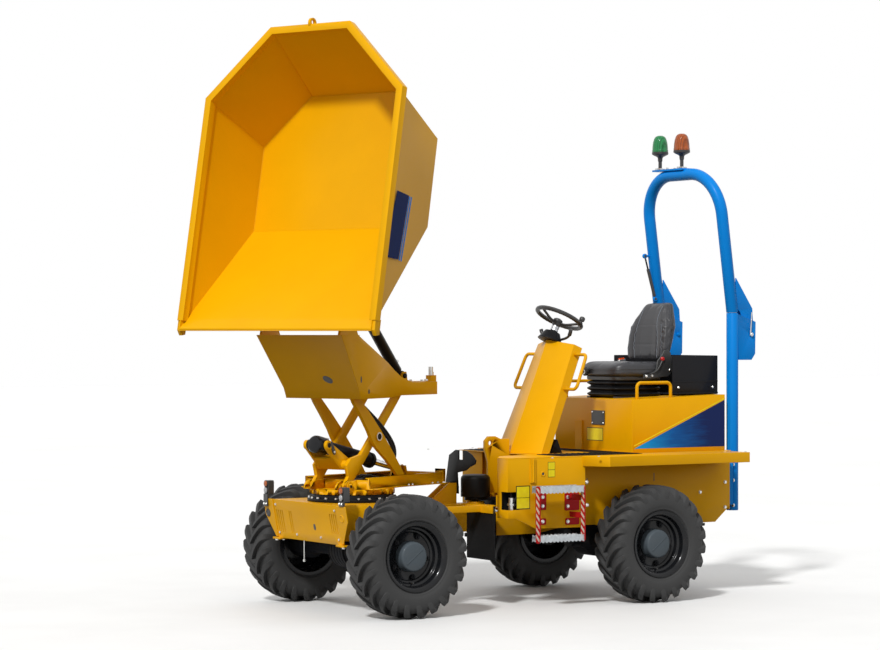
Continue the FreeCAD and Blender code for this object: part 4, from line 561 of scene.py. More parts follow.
class Forge:
    """Gathers the mesh of one piece and turns it into an object that rides on a body."""

    def __init__(self, frame_of: Matrix | None = None) -> None:
        """Starts an empty mesh.

        Args:
            frame_of: the frame that the points are given in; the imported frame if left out.
        """
        self.mesh = bmesh.new()
        self.base = frame_of or Matrix.Identity(4)

    def _vert(self, point: Sequence[float], local: Matrix) -> bmesh.types.BMVert:
        """One vertex from a point of a local frame."""
        return self.mesh.verts.new(self.base @ local @ Vector(point))

    def plate(self, outline: Sequence[Corner], thick: float, at: Matrix | None = None,
              rise: float = 0.0) -> None:
        """A flat plate of the outline, from rise up to rise + thick along the local Z.

        Args:
            outline: corners in the local XY plane, anticlockwise.
            thick: the plate's thickness.
            at: the local frame.
            rise: where its lower side lies.
        """
        local = at or Matrix.Identity(4)
        low = [self._vert((x, y, rise), local) for x, y in outline]
        high = [self._vert((x, y, rise + thick), local) for x, y in outline]
        self.mesh.faces.new(list(reversed(low)))
        self.mesh.faces.new(high)
        for i, corner in enumerate(low):
            j = (i + 1) % len(low)
            self.mesh.faces.new([corner, low[j], high[j], high[i]])

    def box(self, low: Sequence[float], high: Sequence[float], at: Matrix | None = None) -> None:
        """A box between two corners of the local frame."""
        outline = [(low[0], low[1]), (high[0], low[1]), (high[0], high[1]), (low[0], high[1])]
        self.plate(outline, high[2] - low[2], at, low[2])

    def lathe(self, profile: Sequence[Corner], at: Matrix | None = None, steps: int = 32,
              closed: bool = False) -> None:
        """A turned form about the local Z.

        Args:
            profile: (radius, height) pairs from one end to the other; a radius of 0 closes the end.
            at: the local frame.
            steps: how many sides the round has.
            closed: whether the profile's last corner joins its first.
        """
        local = at or Matrix.Identity(4)
        rings = []
        for radius, height in profile:
            if radius < 1e-7:
                rings.append([self._vert((0.0, 0.0, height), local)])
                continue
            turn = [2 * math.pi * i / steps for i in range(steps)]
            rings.append([self._vert((radius * math.cos(a), radius * math.sin(a), height),
                                     local) for a in turn])
        pairs = list(zip(rings, rings[1:] + rings[:1])) if closed else list(zip(rings, rings[1:]))
        for low, high in pairs:
            for i in range(steps):
                j = (i + 1) % steps
                corners = [low[i % len(low)], low[j % len(low)], high[j % len(high)], high[i % len(high)]]
                self.mesh.faces.new(list(dict.fromkeys(corners)))

    def bar(self, start: Sequence[float], end: Sequence[float], radius: float, steps: int = 20,
            ease: float = 0.0) -> None:
        """A round bar between two points, its ends eased by a small chamfer."""
        run = Vector(end) - Vector(start)
        ease = ease or radius * 0.12
        profile = [(0.0, 0.0), (radius - ease, 0.0), (radius, ease), (radius, run.length - ease),
                   (radius - ease, run.length), (0.0, run.length)]
        self.lathe(profile, facing(start, run), steps)

    def bolt(self, at: Sequence[float], normal: Sequence[float], across: float = 0.019, tall: float = 0.008,
             turn: float = 0.0) -> None:
        """A hexagon head with its chamfer on a washer."""
        local = facing(at, normal) @ Matrix.Rotation(turn, 4, "Z")
        half = across / math.sqrt(3)
        washer = across * 0.64
        self.lathe([(0.0, 0.0), (washer, 0.0), (washer, 0.0016), (half, 0.0018)], local, 20)
        self.lathe([(half, 0.0016), (half, tall), (half * 0.84, tall + 0.0012), (0.0, tall + 0.0012)],
                   local, 6)

    def dome_bolt(self, at: Sequence[float], normal: Sequence[float], radius: float = 0.008) -> None:
        """A round-headed bolt."""
        rise = radius * 0.6
        profile = [(0.0, 0.0), (radius, 0.0), (radius, rise * 0.3), (radius * 0.75, rise * 0.85),
                   (0.0, rise)]
        self.lathe(profile, facing(at, normal), 18)

    def tube(self, points: Sequence[Sequence[float]], radius: float, sides: int = 14, closed: bool = False,
             smooth: int = 6) -> None:
        """A round tube along a smooth line through the points.

        Args:
            points: where the line passes, in the forge's frame.
            radius: the tube's radius.
            sides: how many sides its round has.
            closed: whether the line joins its own start.
            smooth: how many steps lie between two points.
        """
        line = spline(points, closed, smooth)
        count = len(line)
        rings: list[list[bmesh.types.BMVert]] = []
        side = Vector(UP)
        for i, place in enumerate(line):
            before = line[i - 1] if (i or closed) else line[0]
            after = line[(i + 1) % count] if (i < count - 1 or closed) else line[-1]
            ahead = (after - before).normalized()
            side = side - ahead * side.dot(ahead)
            if side.length < 1e-3:
                side = ahead.orthogonal()
            side.normalize()
            other = ahead.cross(side)
            ring = []
            for k in range(sides):
                angle = 2 * math.pi * k / sides
                ring.append(self._vert(place + (side * math.cos(angle) + other * math.sin(angle)) * radius,
                                       Matrix.Identity(4)))
            rings.append(ring)
        pairs = list(zip(rings, rings[1:]))
        if closed:
            pairs.append((rings[-1], rings[0]))
        for low, high in pairs:
            for k in range(sides):
                n = (k + 1) % sides
                self.mesh.faces.new([low[k], low[n], high[n], high[k]])
        if not closed:
            self.mesh.faces.new(list(reversed(rings[0])))
            self.mesh.faces.new(rings[-1])

    def grid(self, rows: Sequence[Sequence[Vector]], wrap: bool = False) -> None:
        """A skin through rows of points, each row closed on itself if wrap is set."""
        made = [[self._vert(p, Matrix.Identity(4)) for p in row] for row in rows]
        for low, high in zip(made, made[1:]):
            count = len(low) if wrap else len(low) - 1
            for i in range(count):
                j = (i + 1) % len(low)
                self.mesh.faces.new([low[i], low[j], high[j], high[i]])

    def loft(self, rows: Sequence[Sequence[Vector]]) -> None:
        """A closed form through rows of points, with both ends covered."""
        made = [[self._vert(p, Matrix.Identity(4)) for p in row] for row in rows]
        for low, high in zip(made, made[1:]):
            for i in range(len(low)):
                j = (i + 1) % len(low)
                self.mesh.faces.new([low[i], low[j], high[j], high[i]])
        self.mesh.faces.new(list(reversed(made[0])))
        self.mesh.faces.new(made[-1])

    def done(self, name: str, finish: Finish, body: str, bevel: float = 0.0, round_off: int = 2,
             levels: int = 0, sharp: float = 32.0) -> bpy.types.Object:
        """Makes the object.

        Args:
            name: the piece's name.
            finish: what it is finished in.
            body: the body that it rides on.
            bevel: width of its eased edges, or 0 for none.
            round_off: segments of the eased edge.
            levels: subdivision levels.
            sharp: edges steeper than this many degrees stay sharp.

        Returns:
            The object.
        """
        bmesh.ops.recalc_face_normals(self.mesh, faces=self.mesh.faces[:])
        limit = math.radians(sharp)
        for edge in self.mesh.edges:
            if not levels and len(edge.link_faces) == 2 and edge.calc_face_angle(0.0) > limit:
                edge.smooth = False
        for face in self.mesh.faces:
            face.smooth = True
        data = bpy.data.meshes.new(name)
        self.mesh.to_mesh(data)
        self.mesh.free()
        made = bpy.data.objects.new(name, data)
        bpy.context.scene.collection.objects.link(made)
        data.materials.append(finish.material())
        if bevel:
            ease_edges(made, bevel, round_off, sharp)
        if levels:
            finer = made.modifiers.new("finer", "SUBSURF")
            finer.levels = levels
            finer.render_levels = levels
        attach(made, body)
        LOG.info("%s on %s", name, body)
        return made


def ease_edges(piece: bpy.types.Object, width: float, segments: int = 2, sharp: float = 32.0) -> None:
    """Adds a bevel to a piece's sharp edges, with shading that keeps its flats flat."""
    bevel = piece.modifiers.new("eased", "BEVEL")
    bevel.width = width
    bevel.segments = segments
    bevel.limit_method = "ANGLE"
    bevel.angle_limit = math.radians(sharp)
    bevel.harden_normals = True


def spline(points: Sequence[Sequence[float]], closed: bool, steps: int) -> list[Vector]:
    """Points of a smooth line that passes through the given ones."""
    known = [Vector(p) for p in points]
    count = len(known)
    line = []
    for i in range(count if closed else count - 1):
        p1, p2 = known[i], known[(i + 1) % count]
        p0 = known[i - 1] if (i or closed) else p1 + (p1 - p2)
        p3 = known[(i + 2) % count] if (i + 2 < count or closed) else p2 + (p2 - p1)
        for k in range(steps):
            t = k / steps
            line.append(((p1 * 2) + (p2 - p0) * t + (p0 * 2 - p1 * 5 + p2 * 4 - p3) * t * t
                         + (p1 * 3 - p0 - p2 * 3 + p3) * t * t * t) * 0.5)
    if not closed:
        line.append(known[-1])
    return line


@dataclass
class CadDressing:
    """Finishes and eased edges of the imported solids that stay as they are."""

    ease: float = 0.0026
    crease: float = 34.0

    def finishes(self) -> dict[str, Finish]:
        """Each solid that stays, with its finish."""
        chosen = {node: YELLOW for node in (
            "front_chassis", "swivel_frame", "inner_legs", "outer_legs", "top_frame", "rear_chassis",
            "nose_plate",
            "deck", "seat_box", "console", "grab_handles")}
        chosen["skip"] = YELLOW_CLEAN
        chosen |= {node: BLACK for node in (
            "latch_plate", "slew_ring", "lift_ram_barrel", "tip_ram_barrel", "steer_ram_barrel",
            "pivot_yoke",
            "foot_pedals", "tow_hitch")}
        chosen |= {node: AXLE_GREY for node in ("front_axle", "rear_axle")}
        chosen |= {node: CHROME for node in ("lift_ram_rod", "tip_ram_rod", "steer_ram_rod")}
        chosen |= {node: BLUE for node in ("rops_posts", "rops_hoop")}
        chosen |= {"mud_flaps": SHEET_RUBBER, "hose_drum": GLOSS_COVER, "battery_block": PLASTIC,
                   "rear_tray": TRAY_GREY, "rear_lamps": RED_LENS, "steering_column": BELLOWS}
        return chosen

    def dress(self) -> None:
        """Gives each solid its finish, smooth shading, welded vertices and eased edges."""
        for node, finish in self.finishes().items():
            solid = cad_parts[node]
            solid.data.materials.clear()
            solid.data.materials.append(finish.material())
            for polygon in solid.data.polygons:
                polygon.use_smooth = True
            weld = solid.modifiers.new("joined", "WELD")
            weld.merge_threshold = 0.00002
            ease_edges(solid, self.ease, 2, self.crease)
            LOG.info("%s in %s", node, finish.name)


@dataclass
class Wheel:
    """One wheel: a tyre with slanting lugs, a black stepped rim and a grey hub."""

    place: str
    x: float
    side: int
    track: float = 1.311
    tyre_r: float = 0.38
    lugs: int = 23
    lug_sweep: float = math.radians(21.0)
    stud_r: float = 0.128

    def frame_of(self) -> Matrix:
        """The wheel's own frame: its Y is the axle, outward, and its origin the axle's middle."""
        axle = ground(self.x, self.side * self.track / 2, self.tyre_r)
        return Matrix.Translation(axle)

    def _spin(self, y: float, radius: float, angle: float) -> Vector:
        """A point on a turned form: y outward along the axle, angle forward from the top."""
        return Vector((radius * math.sin(angle), y * self.side, radius * math.cos(angle)))

    def _carcass(self) -> list[Corner]:
        """Half of the tyre's section as (outward, radius), from bead to crown."""
        return [(0.1065, 0.1915), (0.1085, 0.217), (0.113, 0.2235), (0.116, 0.2235), (0.1205, 0.229),
                (0.1215, 0.238), (0.1255, 0.244), (0.129, 0.262), (0.13, 0.284), (0.1275, 0.306),
                (0.122, 0.322), (0.113, 0.3345), (0.098, 0.343), (0.07, 0.349), (0.035, 0.3525), (0.0,
                                                                                                  0.3535)]

    def _lug(self, forge: Forge, middle: float, hand: int) -> None:
        """One lug from the crown's middle down over the shoulder.

        Args:
            forge: the tyre's forge.
            middle: the angle of its inner end.
            hand: 1 for the outer half of the tread and -1 for the inner.
        """
        # Each station: outward place, radius of the top, radius of the foot, half width, share of the sweep
        stations = [(-0.012, 0.376, 0.35, 0.013, -0.06), (-0.002, 0.3795, 0.35, 0.0165, 0.0),
                    (0.03, 0.38, 0.349, 0.0175, 0.3), (0.062, 0.379, 0.347, 0.018, 0.57),
                    (0.09, 0.3765, 0.342, 0.0185, 0.78), (0.11, 0.37, 0.333, 0.0185, 0.91),
                    (0.1225, 0.356, 0.32, 0.018, 0.985), (0.1285, 0.334, 0.307, 0.0165, 1.03),
                    (0.1302, 0.312, 0.296, 0.014, 1.06), (0.1303, 0.296, 0.287, 0.009, 1.08)]
        rows = []
        for y, top, foot, half, share in stations:
            angle = middle - self.lug_sweep * share
            # The foot is wider than the top and lies just inside the carcass
            spread = half / top
            splay = (half + 0.0065) / foot
            inset = 0.0045
            rows.append([self._spin(hand * (y - inset), foot - 0.004, angle + splay),
                         self._spin(hand * y, top, angle + spread),
                         self._spin(hand * y, top, angle - spread),
                         self._spin(hand * (y - inset), foot - 0.004, angle - splay)])
        forge.loft(rows)

    def tyre(self) -> bpy.types.Object:
        """The tyre, in place of its plain solid."""
        forge = Forge()
        steps = 120
        half = self._carcass()
        section = [(-y, r) for y, r in half] + [(y, r) for y, r in reversed(half[:-1])]
        turns = [2 * math.pi * k / steps for k in range(steps)]
        forge.grid([[self._spin(y, r, a) for a in turns] for y, r in section], wrap=True)
        seat = [section[-1], section[0]]
        forge.grid([[self._spin(y, r, a) for a in turns] for y, r in seat], wrap=True)
        pitch = 2 * math.pi / self.lugs
        for k in range(self.lugs):
            self._lug(forge, k * pitch, 1)
            self._lug(forge, (k + 0.5) * pitch, -1)
        body = "wheel_" + self.place
        made = self._placed(forge, "tyre_tread_" + self.place, TYRE, body, bevel=0.0035)
        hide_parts("tyre_" + self.place)
        return made

    def _placed(self, forge: Forge, name: str, finish: Finish, body: str, bevel: float = 0.0,
                sharp: float = 32.0) -> bpy.types.Object:
        """An object with its own origin at the axle, so that its grain turns with it."""
        made = forge.done(name, finish, body, bevel=bevel, sharp=sharp)
        made.matrix_world = self.frame_of()
        bpy.context.view_layer.update()
        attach(made, body)
        return made

    def rim(self) -> None:
        """The stepped black rim with its valve, and the grey hub with studs and nuts."""
        body = "wheel_" + self.place
        outward = Matrix.Rotation(-math.pi / 2 * self.side, 4, "X")
        forge = Forge(outward)
        profile = [(0.189, -0.117), (0.202, -0.118), (0.215, -0.1172), (0.2155, -0.113), (0.2135, -0.1085),
                   (0.1905, -0.1075), (0.1895, -0.05), (0.178, -0.038), (0.178, 0.045), (0.1895, 0.058),
                   (0.1905, 0.1075), (0.2135, 0.1085), (0.2155, 0.113), (0.215, 0.1172), (0.2085, 0.118),
                   (0.199, 0.113), (0.188, 0.106), (0.1835, 0.096), (0.183, 0.07), (0.179, 0.065),
                   (0.169, 0.062), (0.166, 0.056), (0.165, 0.038), (0.16, 0.033), (0.152, 0.032),
                   (0.148, 0.027), (0.144, 0.0225), (0.1, 0.0215), (0.0, 0.0215)]
        forge.lathe(profile, steps=96)
        back = [(0.0, 0.0095), (0.148, 0.0095), (0.17, 0.03), (0.178, 0.03)]
        forge.lathe(back, steps=96)
        rim = self._placed(forge, "rim_steel_" + self.place, RIM_BLACK, body, sharp=50.0)
        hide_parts("rim_" + self.place)
        hub = Forge(outward)
        cap = [(0.096, 0.021), (0.096, 0.03), (0.0935, 0.034), (0.092, 0.076), (0.09, 0.085),
               (0.085, 0.0905), (0.078, 0.0925), (0.03, 0.0935), (0.0, 0.0935)]
        hub.lathe(cap, steps=56)
        rib = [(-0.072, -0.0035), (0.072, -0.0035), (0.072, 0.0035), (-0.072, 0.0035)]
        hub.plate(rib, 0.003, Matrix.Rotation(math.radians(38.0), 4, "Z"), 0.0925)
        self._placed(hub, "hub_cap_" + self.place, HUB_GREY, body, bevel=0.0012, sharp=50.0)
        nuts = Forge(outward)
        for k in range(5):
            angle = 2 * math.pi * k / 5 + 0.5
            spot = (self.stud_r * math.cos(angle), self.stud_r * math.sin(angle), 0.0215)
            nuts.bolt(spot, UP, 0.027, 0.017, angle)
            end = (spot[0], spot[1], 0.05)
            nuts.bar(spot, end, 0.0075, 14)
        self._placed(nuts, "wheel_nuts_" + self.place, AXLE_GREY, body)
        valve = Forge(outward)
        spot = Vector((0.0, 0.156, 0.033))
        valve.bar(spot, spot + Vector((0.0, 0.004, 0.03)), 0.0042, 12)
        valve.bar(spot + Vector((0.0, 0.004, 0.03)), spot + Vector((0.0, 0.005, 0.042)), 0.0052, 12)
        self._placed(valve, "valve_" + self.place, PLASTIC, body)


@dataclass
class FrontEnd:
    """Fittings of the front half: lamps, vents, fasteners and the ring's bolts."""

    plate_x: float = 1.286
    top_z: float = 0.686
    lamp_y: float = 0.476
    ear_y: float = 0.458
    ring_r: float = 0.274
    body: str = "front_body"

    def build(self) -> None:
        """Builds and dresses every piece of the front half."""
        self.lamps()
        self.fasteners()
        self.ring_bolts()
        self.reflectors()
        self.gearbox()

    def lamps(self) -> None:
        """Two upright lamp bodies, each with an amber lens over a clear one."""
        housings = Forge(GROUND)
        amber = Forge(GROUND)
        clear = Forge(GROUND)
        bolts = Forge(GROUND)
        for side in (-1, 1):
            y = side * self.lamp_y
            x = self.plate_x - 0.003
            outline = [(-0.026, 0.026), (-0.026, 0.106), (-0.02, 0.116), (0.02, 0.116), (0.026, 0.106),
                       (0.026, 0.026)]
            upright = Matrix.Translation((x - 0.034, y, self.top_z)) @ Matrix(
                ((0, 0, 1, 0), (1, 0, 0, 0), (0, 1, 0, 0), (0, 0, 0, 1)))
            housings.plate(outline, 0.042, upright)
            housings.plate([(-0.026, 0.0), (0.026, 0.0), (0.026, 0.03), (-0.026, 0.03)], 0.01, upright,
                           0.034)
            for z, forge in ((0.095, amber), (0.052, clear)):
                at = facing((x + 0.008, y, self.top_z + z), AHEAD)
                housings.lathe([(0.0195, -0.002), (0.0225, -0.002), (0.0225, 0.008), (0.0195, 0.008)], at,
                               32, True)
                forge.lathe([(0.0, 0.0135), (0.01, 0.013), (0.0165, 0.011), (0.0192, 0.007), (0.0192, 0.0)],
                            at, 32)
            foot = -0.048 if side < 0 else 0.0
            housings.box((self.plate_x + 0.0064, y - 0.026, self.top_z + foot),
                         (self.plate_x + 0.013, y + 0.026,
                                                                                 self.top_z + 0.03))
            for off in (-0.014, 0.014):
                bolts.bolt((self.plate_x + 0.013, y + off, self.top_z + foot + 0.015), AHEAD, 0.013, 0.005)
        made = housings.done("lamp_housings", PLASTIC, self.body, bevel=0.0022)
        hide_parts("front_lamps")
        amber.done("lamp_amber_lenses", AMBER_LENS, self.body)
        clear.done("lamp_clear_lenses", WHITE_LENS, self.body)
        bolts.done("lamp_bolts", ZINC, self.body)

    def reflectors(self) -> None:
        """A round black bung on the right ear and a pressed boss on the left one; dark sheets behind the
        vents and a dark plate in the front plate's hole are painted shade.
        """
        slope = (1.0, 0.0, -0.187)
        low = self.top_z - 0.09
        bung = Forge(GROUND)
        at = facing((self.plate_x - 0.0108, -self.lamp_y, low), slope)
        bung.lathe([(0.0, 0.002), (0.0195, 0.002), (0.0215, 0.0055), (0.025, 0.005), (0.0265, 0.0),
                    (0.0, -0.001)],
                   at, 36)
        bung.done("ear_bung", PLASTIC, self.body)
        press = Forge(GROUND)
        at = facing((self.plate_x - 0.0086, self.ear_y - 0.004, self.top_z - 0.078), slope)
        press.lathe([(0.0, 0.0006), (0.017, 0.0006), (0.0195, 0.0034), (0.0225, 0.003), (0.025, -0.0005),
                     (0.0, -0.001)], at, 36)
        for side in (-1, 1):
            ear = [(0.4, 0.0), (0.4, -0.238), (0.424, -0.238), (0.516, -0.1), (0.516, -0.006), (0.51, 0.0)]
            at = facing((self.plate_x, 0.0, self.top_z), slope)
            outline = [(side * y, z * math.hypot(1.0, slope[2])) for y, z in ear]
            press.plate(outline if side < 0 else outline[::-1], 0.0056, at, 0.0004)
        press.done("ear_plates", YELLOW, self.body, bevel=0.0012)
        # Dark sheets behind the vents: painted shade inside the openings.
        vent_shade = Forge(GROUND)
        for y0, y1 in ((-0.388, -0.178), (0.286, 0.382)):
            at = facing((self.plate_x, 0.0, self.top_z), slope)
            vent_shade.box((y0, -0.215, -0.0125), (y1, -0.045, -0.0098), at)
        vent_shade.done("vent_shade_sheets", AXLE_GREY, self.body)
        # A dark plate in the front plate's oval hole: painted shade inside the hole.
        hole = Forge(GROUND)
        at = facing((self.plate_x - 0.15 * 0.187, 0.088, self.top_z - 0.15), slope)
        hole.plate(rounded(0.013, 0.02, 2.4, 28), 0.0012, at)
        hole.done("plate_hole_shadow", PLASTIC, self.body)

    def fasteners(self) -> None:
        """Bolts of the flaps, the front plate and the latch plate."""
        forge = Forge(GROUND)
        for y in (0.176, 0.315, 0.446, -0.176, -0.315, -0.446):
            forge.bolt((0.152, y, 0.628), BACK, 0.017, 0.008)
        slope = (0.046, 0.246)
        for y, z in ((0.372, 0.655), (0.372, 0.475), (-0.372, 0.655), (-0.372, 0.475), (0.15, 0.475),
                     (-0.15, 0.475)):
            x = self.plate_x - (self.top_z - z) * slope[0] / slope[1]
            forge.bolt((x, y, z), (slope[1], 0.0, -slope[0]), 0.013, 0.006)
        for y, z in ((-0.172, 0.742), (-0.06, 0.742), (-0.12, 0.78)):
            forge.bolt((0.105, y, z), BACK, 0.022, 0.01)
        for side in (-1, 1):
            for x in (1.196, 1.244):
                forge.bolt((x, side * 0.42, 0.43), DOWN, 0.019, 0.009)
        forge.done("front_bolts", ZINC, self.body)

    def ring_bolts(self) -> None:
        """The bolts round the slewing ring's flange."""
        forge = Forge(GROUND)
        for k in range(24):
            angle = 2 * math.pi * (k + 0.5) / 24
            at = (FRONT_AXLE_X + self.ring_r * math.cos(angle), self.ring_r * math.sin(angle),
                  self.top_z + 0.0215)
            forge.bolt(at, UP, 0.016, 0.009, angle)
        forge.done("ring_bolts", ZINC, self.body)

    def gearbox(self) -> None:
        """Ribs on the front axle's middle, and a level rod in front of it."""
        forge = Forge(GROUND)
        for y in (-0.085, -0.05, -0.015, 0.02, 0.055, 0.085):
            at = facing((FRONT_AXLE_X, y, 0.38), LEFT)
            forge.lathe([(0.118, -0.003), (0.128, -0.003), (0.128, 0.003), (0.118, 0.003)], at, 40, True)
        forge.done("axle_ribs", AXLE_GREY, self.body, bevel=0.001)
        rod = Forge(GROUND)
        rod.bar((1.236, -0.082, 0.447), (1.236, -0.082, 0.318), 0.0042, 12)
        rod.bar((1.236, -0.082, 0.322), (1.236, -0.082, 0.306), 0.0085, 12)
        rod.done("axle_breather", ZINC, self.body)


@dataclass
class Scissor:
    """Pins, hoses and covers of the lift."""

    foot: Corner = (0.237, 0.791)
    half: float = 0.42
    lean: float = math.radians(46.0)
    outer_v: float = 0.155

    def crossing(self) -> Corner:
        """Where the legs cross, as (u, z)."""
        return (self.foot[0] - self.half * math.cos(self.lean),
                self.foot[1] + self.half * math.sin(self.lean))

    def build(self) -> None:
        """Builds and dresses every piece of the lift."""
        self.leg_plates()
        self.pins()
        self.hoses()
        self.ram_head()
        self.clips()

    def on_outer(self, along: float, side: float) -> Corner:
        """A point on the outer legs, from their rear foot up and square off them, as (u, z)."""
        c, s = math.cos(self.lean), math.sin(self.lean)
        foot = self.foot[0] - 2 * self.half * c
        return (foot + along * c - side * s, self.foot[1] + along * s + side * c)

    def leg_plates(self) -> None:
        """The outer legs' full width round the crossing pin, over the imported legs."""
        upper = [(0.08, 0.0295), (0.26, 0.041), (0.42, 0.047), (0.6, 0.041), (0.762, 0.0295)]
        lower = [(0.762, -0.03), (0.62, -0.038), (0.52, -0.049), (0.47, -0.06), (0.43, -0.066),
                 (0.39, -0.067), (0.345, -0.06), (0.25, -0.043), (0.08, -0.0305)]
        outline = [self.on_outer(along, side) for along, side in upper + lower]
        forge = Forge(SWIVEL)
        for middle in (-self.outer_v, self.outer_v):
            at = facing((0.0, middle, 0.0), LEFT)
            forge.plate([(-u, z) for u, z in outline], 0.0256, at, -0.0128)
        forge.done("outer_leg_plates", YELLOW, "outer_scissor", bevel=0.002)

    def ram_head(self) -> None:
        """The lift ram's round head between the horns, and the keeper on the near horn."""
        start, end = Vector((0.355, 0.0, 1.05)), Vector((-0.5, 0.0, 0.866))
        head = Forge(SWIVEL)
        profile = [(0.0, -0.048), (0.03, -0.047), (0.046, -0.042), (0.0545, -0.032), (0.057, -0.018),
                   (0.0575, 0.03), (0.056, 0.062), (0.05, 0.076), (0.0425, 0.08)]
        head.lathe(profile, facing(start, end - start), 56)
        head.done("lift_ram_head", RIM_BLACK, "lift_barrel")
        keeper = Forge(SWIVEL)
        for side in (-1, 1):
            low, high = Vector((0.3, side * 0.0857, 0.996)), Vector((0.334, side * 0.0857, 1.066))
            run = high - low
            at = facing(low, outward(side), run)
            keeper.plate([(x, y + run.length / 2) for x, y in rounded(0.0125, 0.046, 3.0, 28)], 0.0072, at)
        keeper.done("horn_keepers", PLASTIC, "inner_scissor", bevel=0.0012)
        bolts = Forge(SWIVEL)
        for side in (-1, 1):
            bolts.dome_bolt((0.304, side * 0.0929, 1.006), outward(side), 0.0085)
        bolts.done("keeper_bolts", ZINC, "inner_scissor")

    def pins(self) -> None:
        """Black pin caps with a ring at the crossing, and yellow collars with black bolts at the feet."""
        u, z = self.crossing()
        caps = Forge(SWIVEL)
        rings = Forge(SWIVEL)
        for side in (-1, 1):
            out = outward(side)
            at = facing((u, side * 0.1735, z), out)
            caps.lathe([(0.0, 0.0035), (0.01, 0.004), (0.0185, 0.003), (0.02, 0.0), (0.02, -0.002)], at, 32)
            rings.lathe([(0.0205, 0.0), (0.0275, 0.0), (0.0275, 0.0025), (0.0205, 0.0025)], at, 32, True)
        caps.done("crossing_pin_caps", BLACK, "inner_scissor")
        rings.done("crossing_pin_rings", ZINC, "inner_scissor")
        feet = Forge(SWIVEL)
        u, z = self.foot
        for side in (-1, 1):
            at = facing((u, side * 0.1585, z), outward(side))
            feet.lathe([(0.0205, 0.0), (0.027, 0.0), (0.027, 0.006), (0.0205, 0.006)], at, 32, True)
            feet.plate([(-0.03, -0.007), (0.004, -0.009), (0.004, 0.009), (-0.03, 0.007)], 0.004, at, 0.006)
        feet.done("foot_pin_collars", YELLOW, "swivel", bevel=0.001)
        keys = Forge(SWIVEL)
        for side in (-1, 1):
            keys.bolt((u - 0.002, side * 0.1665, z), outward(side), 0.016, 0.006)
        keys.done("foot_pin_bolts", BLACK, "swivel")

    def hoses(self) -> None:
        """Black hoses behind the near leg and over the base."""
        along = Forge(SWIVEL)
        for off in (0.0, 0.018):
            points = []
            for reach, side in ((0.7, 0.024), (0.61, 0.046), (0.5, 0.07), (0.4, 0.086), (0.32, 0.092),
                                (0.255, 0.086), (0.21, 0.064), (0.18, 0.026)):
                u, z = self.on_outer(reach, side - off)
                points.append((u, self.outer_v - 0.002 - off * 0.1, z))
            along.tube(points, 0.0105)
        along.done("leg_hoses", HOSE, "outer_scissor")
        base = Forge(SWIVEL)
        for off in (0.0, 0.026, 0.052):
            base.tube([(0.06, -0.06 + off, 0.785), (-0.06, -0.056 + off, 0.8), (-0.16, -0.05 + off, 0.835),
                       (-0.26, -0.046 + off, 0.815), (-0.38, -0.04 + off, 0.79), (-0.47, -0.03 + off,
                                                                                  0.787)],
                      0.0095)
        base.done("base_hoses", HOSE, "swivel")

    def clips(self) -> None:
        """Bolts on the swivel frame's rails and hose clips on its base."""
        forge = Forge(SWIVEL)
        for side in (-1, 1):
            for u in (-0.62, -0.56, -0.3, -0.34):
                v = 0.205 + 0.017
                forge.bolt((u, side * v, 0.775), UP, 0.016, 0.008)
        forge.done("rail_bolts", ZINC, "swivel")
        clip = Forge(SWIVEL)
        for u, z in ((-0.075, 0.812), (-0.33, 0.806)):
            clip.box((u - 0.011, -0.078, z - 0.04), (u + 0.011, 0.024, z + 0.012))
        clip.done("hose_clips", PLASTIC, "swivel", bevel=0.002)


@dataclass
class TopFrame:
    """Fittings of the frame on top of the lift."""

    body: str = "lift_top"

    def build(self) -> None:
        """Builds the ram base's hoses, the hinge pins' ends and the tail's catch."""
        caps = Forge(SWIVEL)
        for side in (-1, 1):
            at = facing((HINGE.x, side * 0.3165, HINGE.z), outward(side))
            caps.lathe([(0.0225, 0.0), (0.033, 0.0), (0.033, 0.005), (0.0225, 0.005)], at, 32, True)
        caps.done("hinge_collars", YELLOW, self.body, bevel=0.001)
        tail = Forge(SWIVEL)
        tail.bolt((-0.8, 0.0, 1.4325), UP, 0.024, 0.01)
        tail.lathe([(0.0, 0.058), (0.015, 0.058), (0.0165, 0.056), (0.0165, 0.0), (0.0, -0.002)],
                   Matrix.Translation((-0.852, 0.0, 1.466)), 28)
        tail.bolt((-0.69, 0.045, 1.4325), UP, 0.018, 0.009)
        tail.bolt((-0.69, -0.045, 1.4325), UP, 0.018, 0.009)
        tail.done("tail_bolts", ZINC, self.body)
        hose = Forge(SWIVEL)
        for side in (-1, 1):
            hose.tube([(-0.48, side * 0.02, 1.44), (-0.4, side * 0.07, 1.452), (-0.25, side * 0.11, 1.44),
                       (-0.12, side * 0.12, 1.4)], 0.009)
        hose.done("tip_hoses", HOSE, self.body)


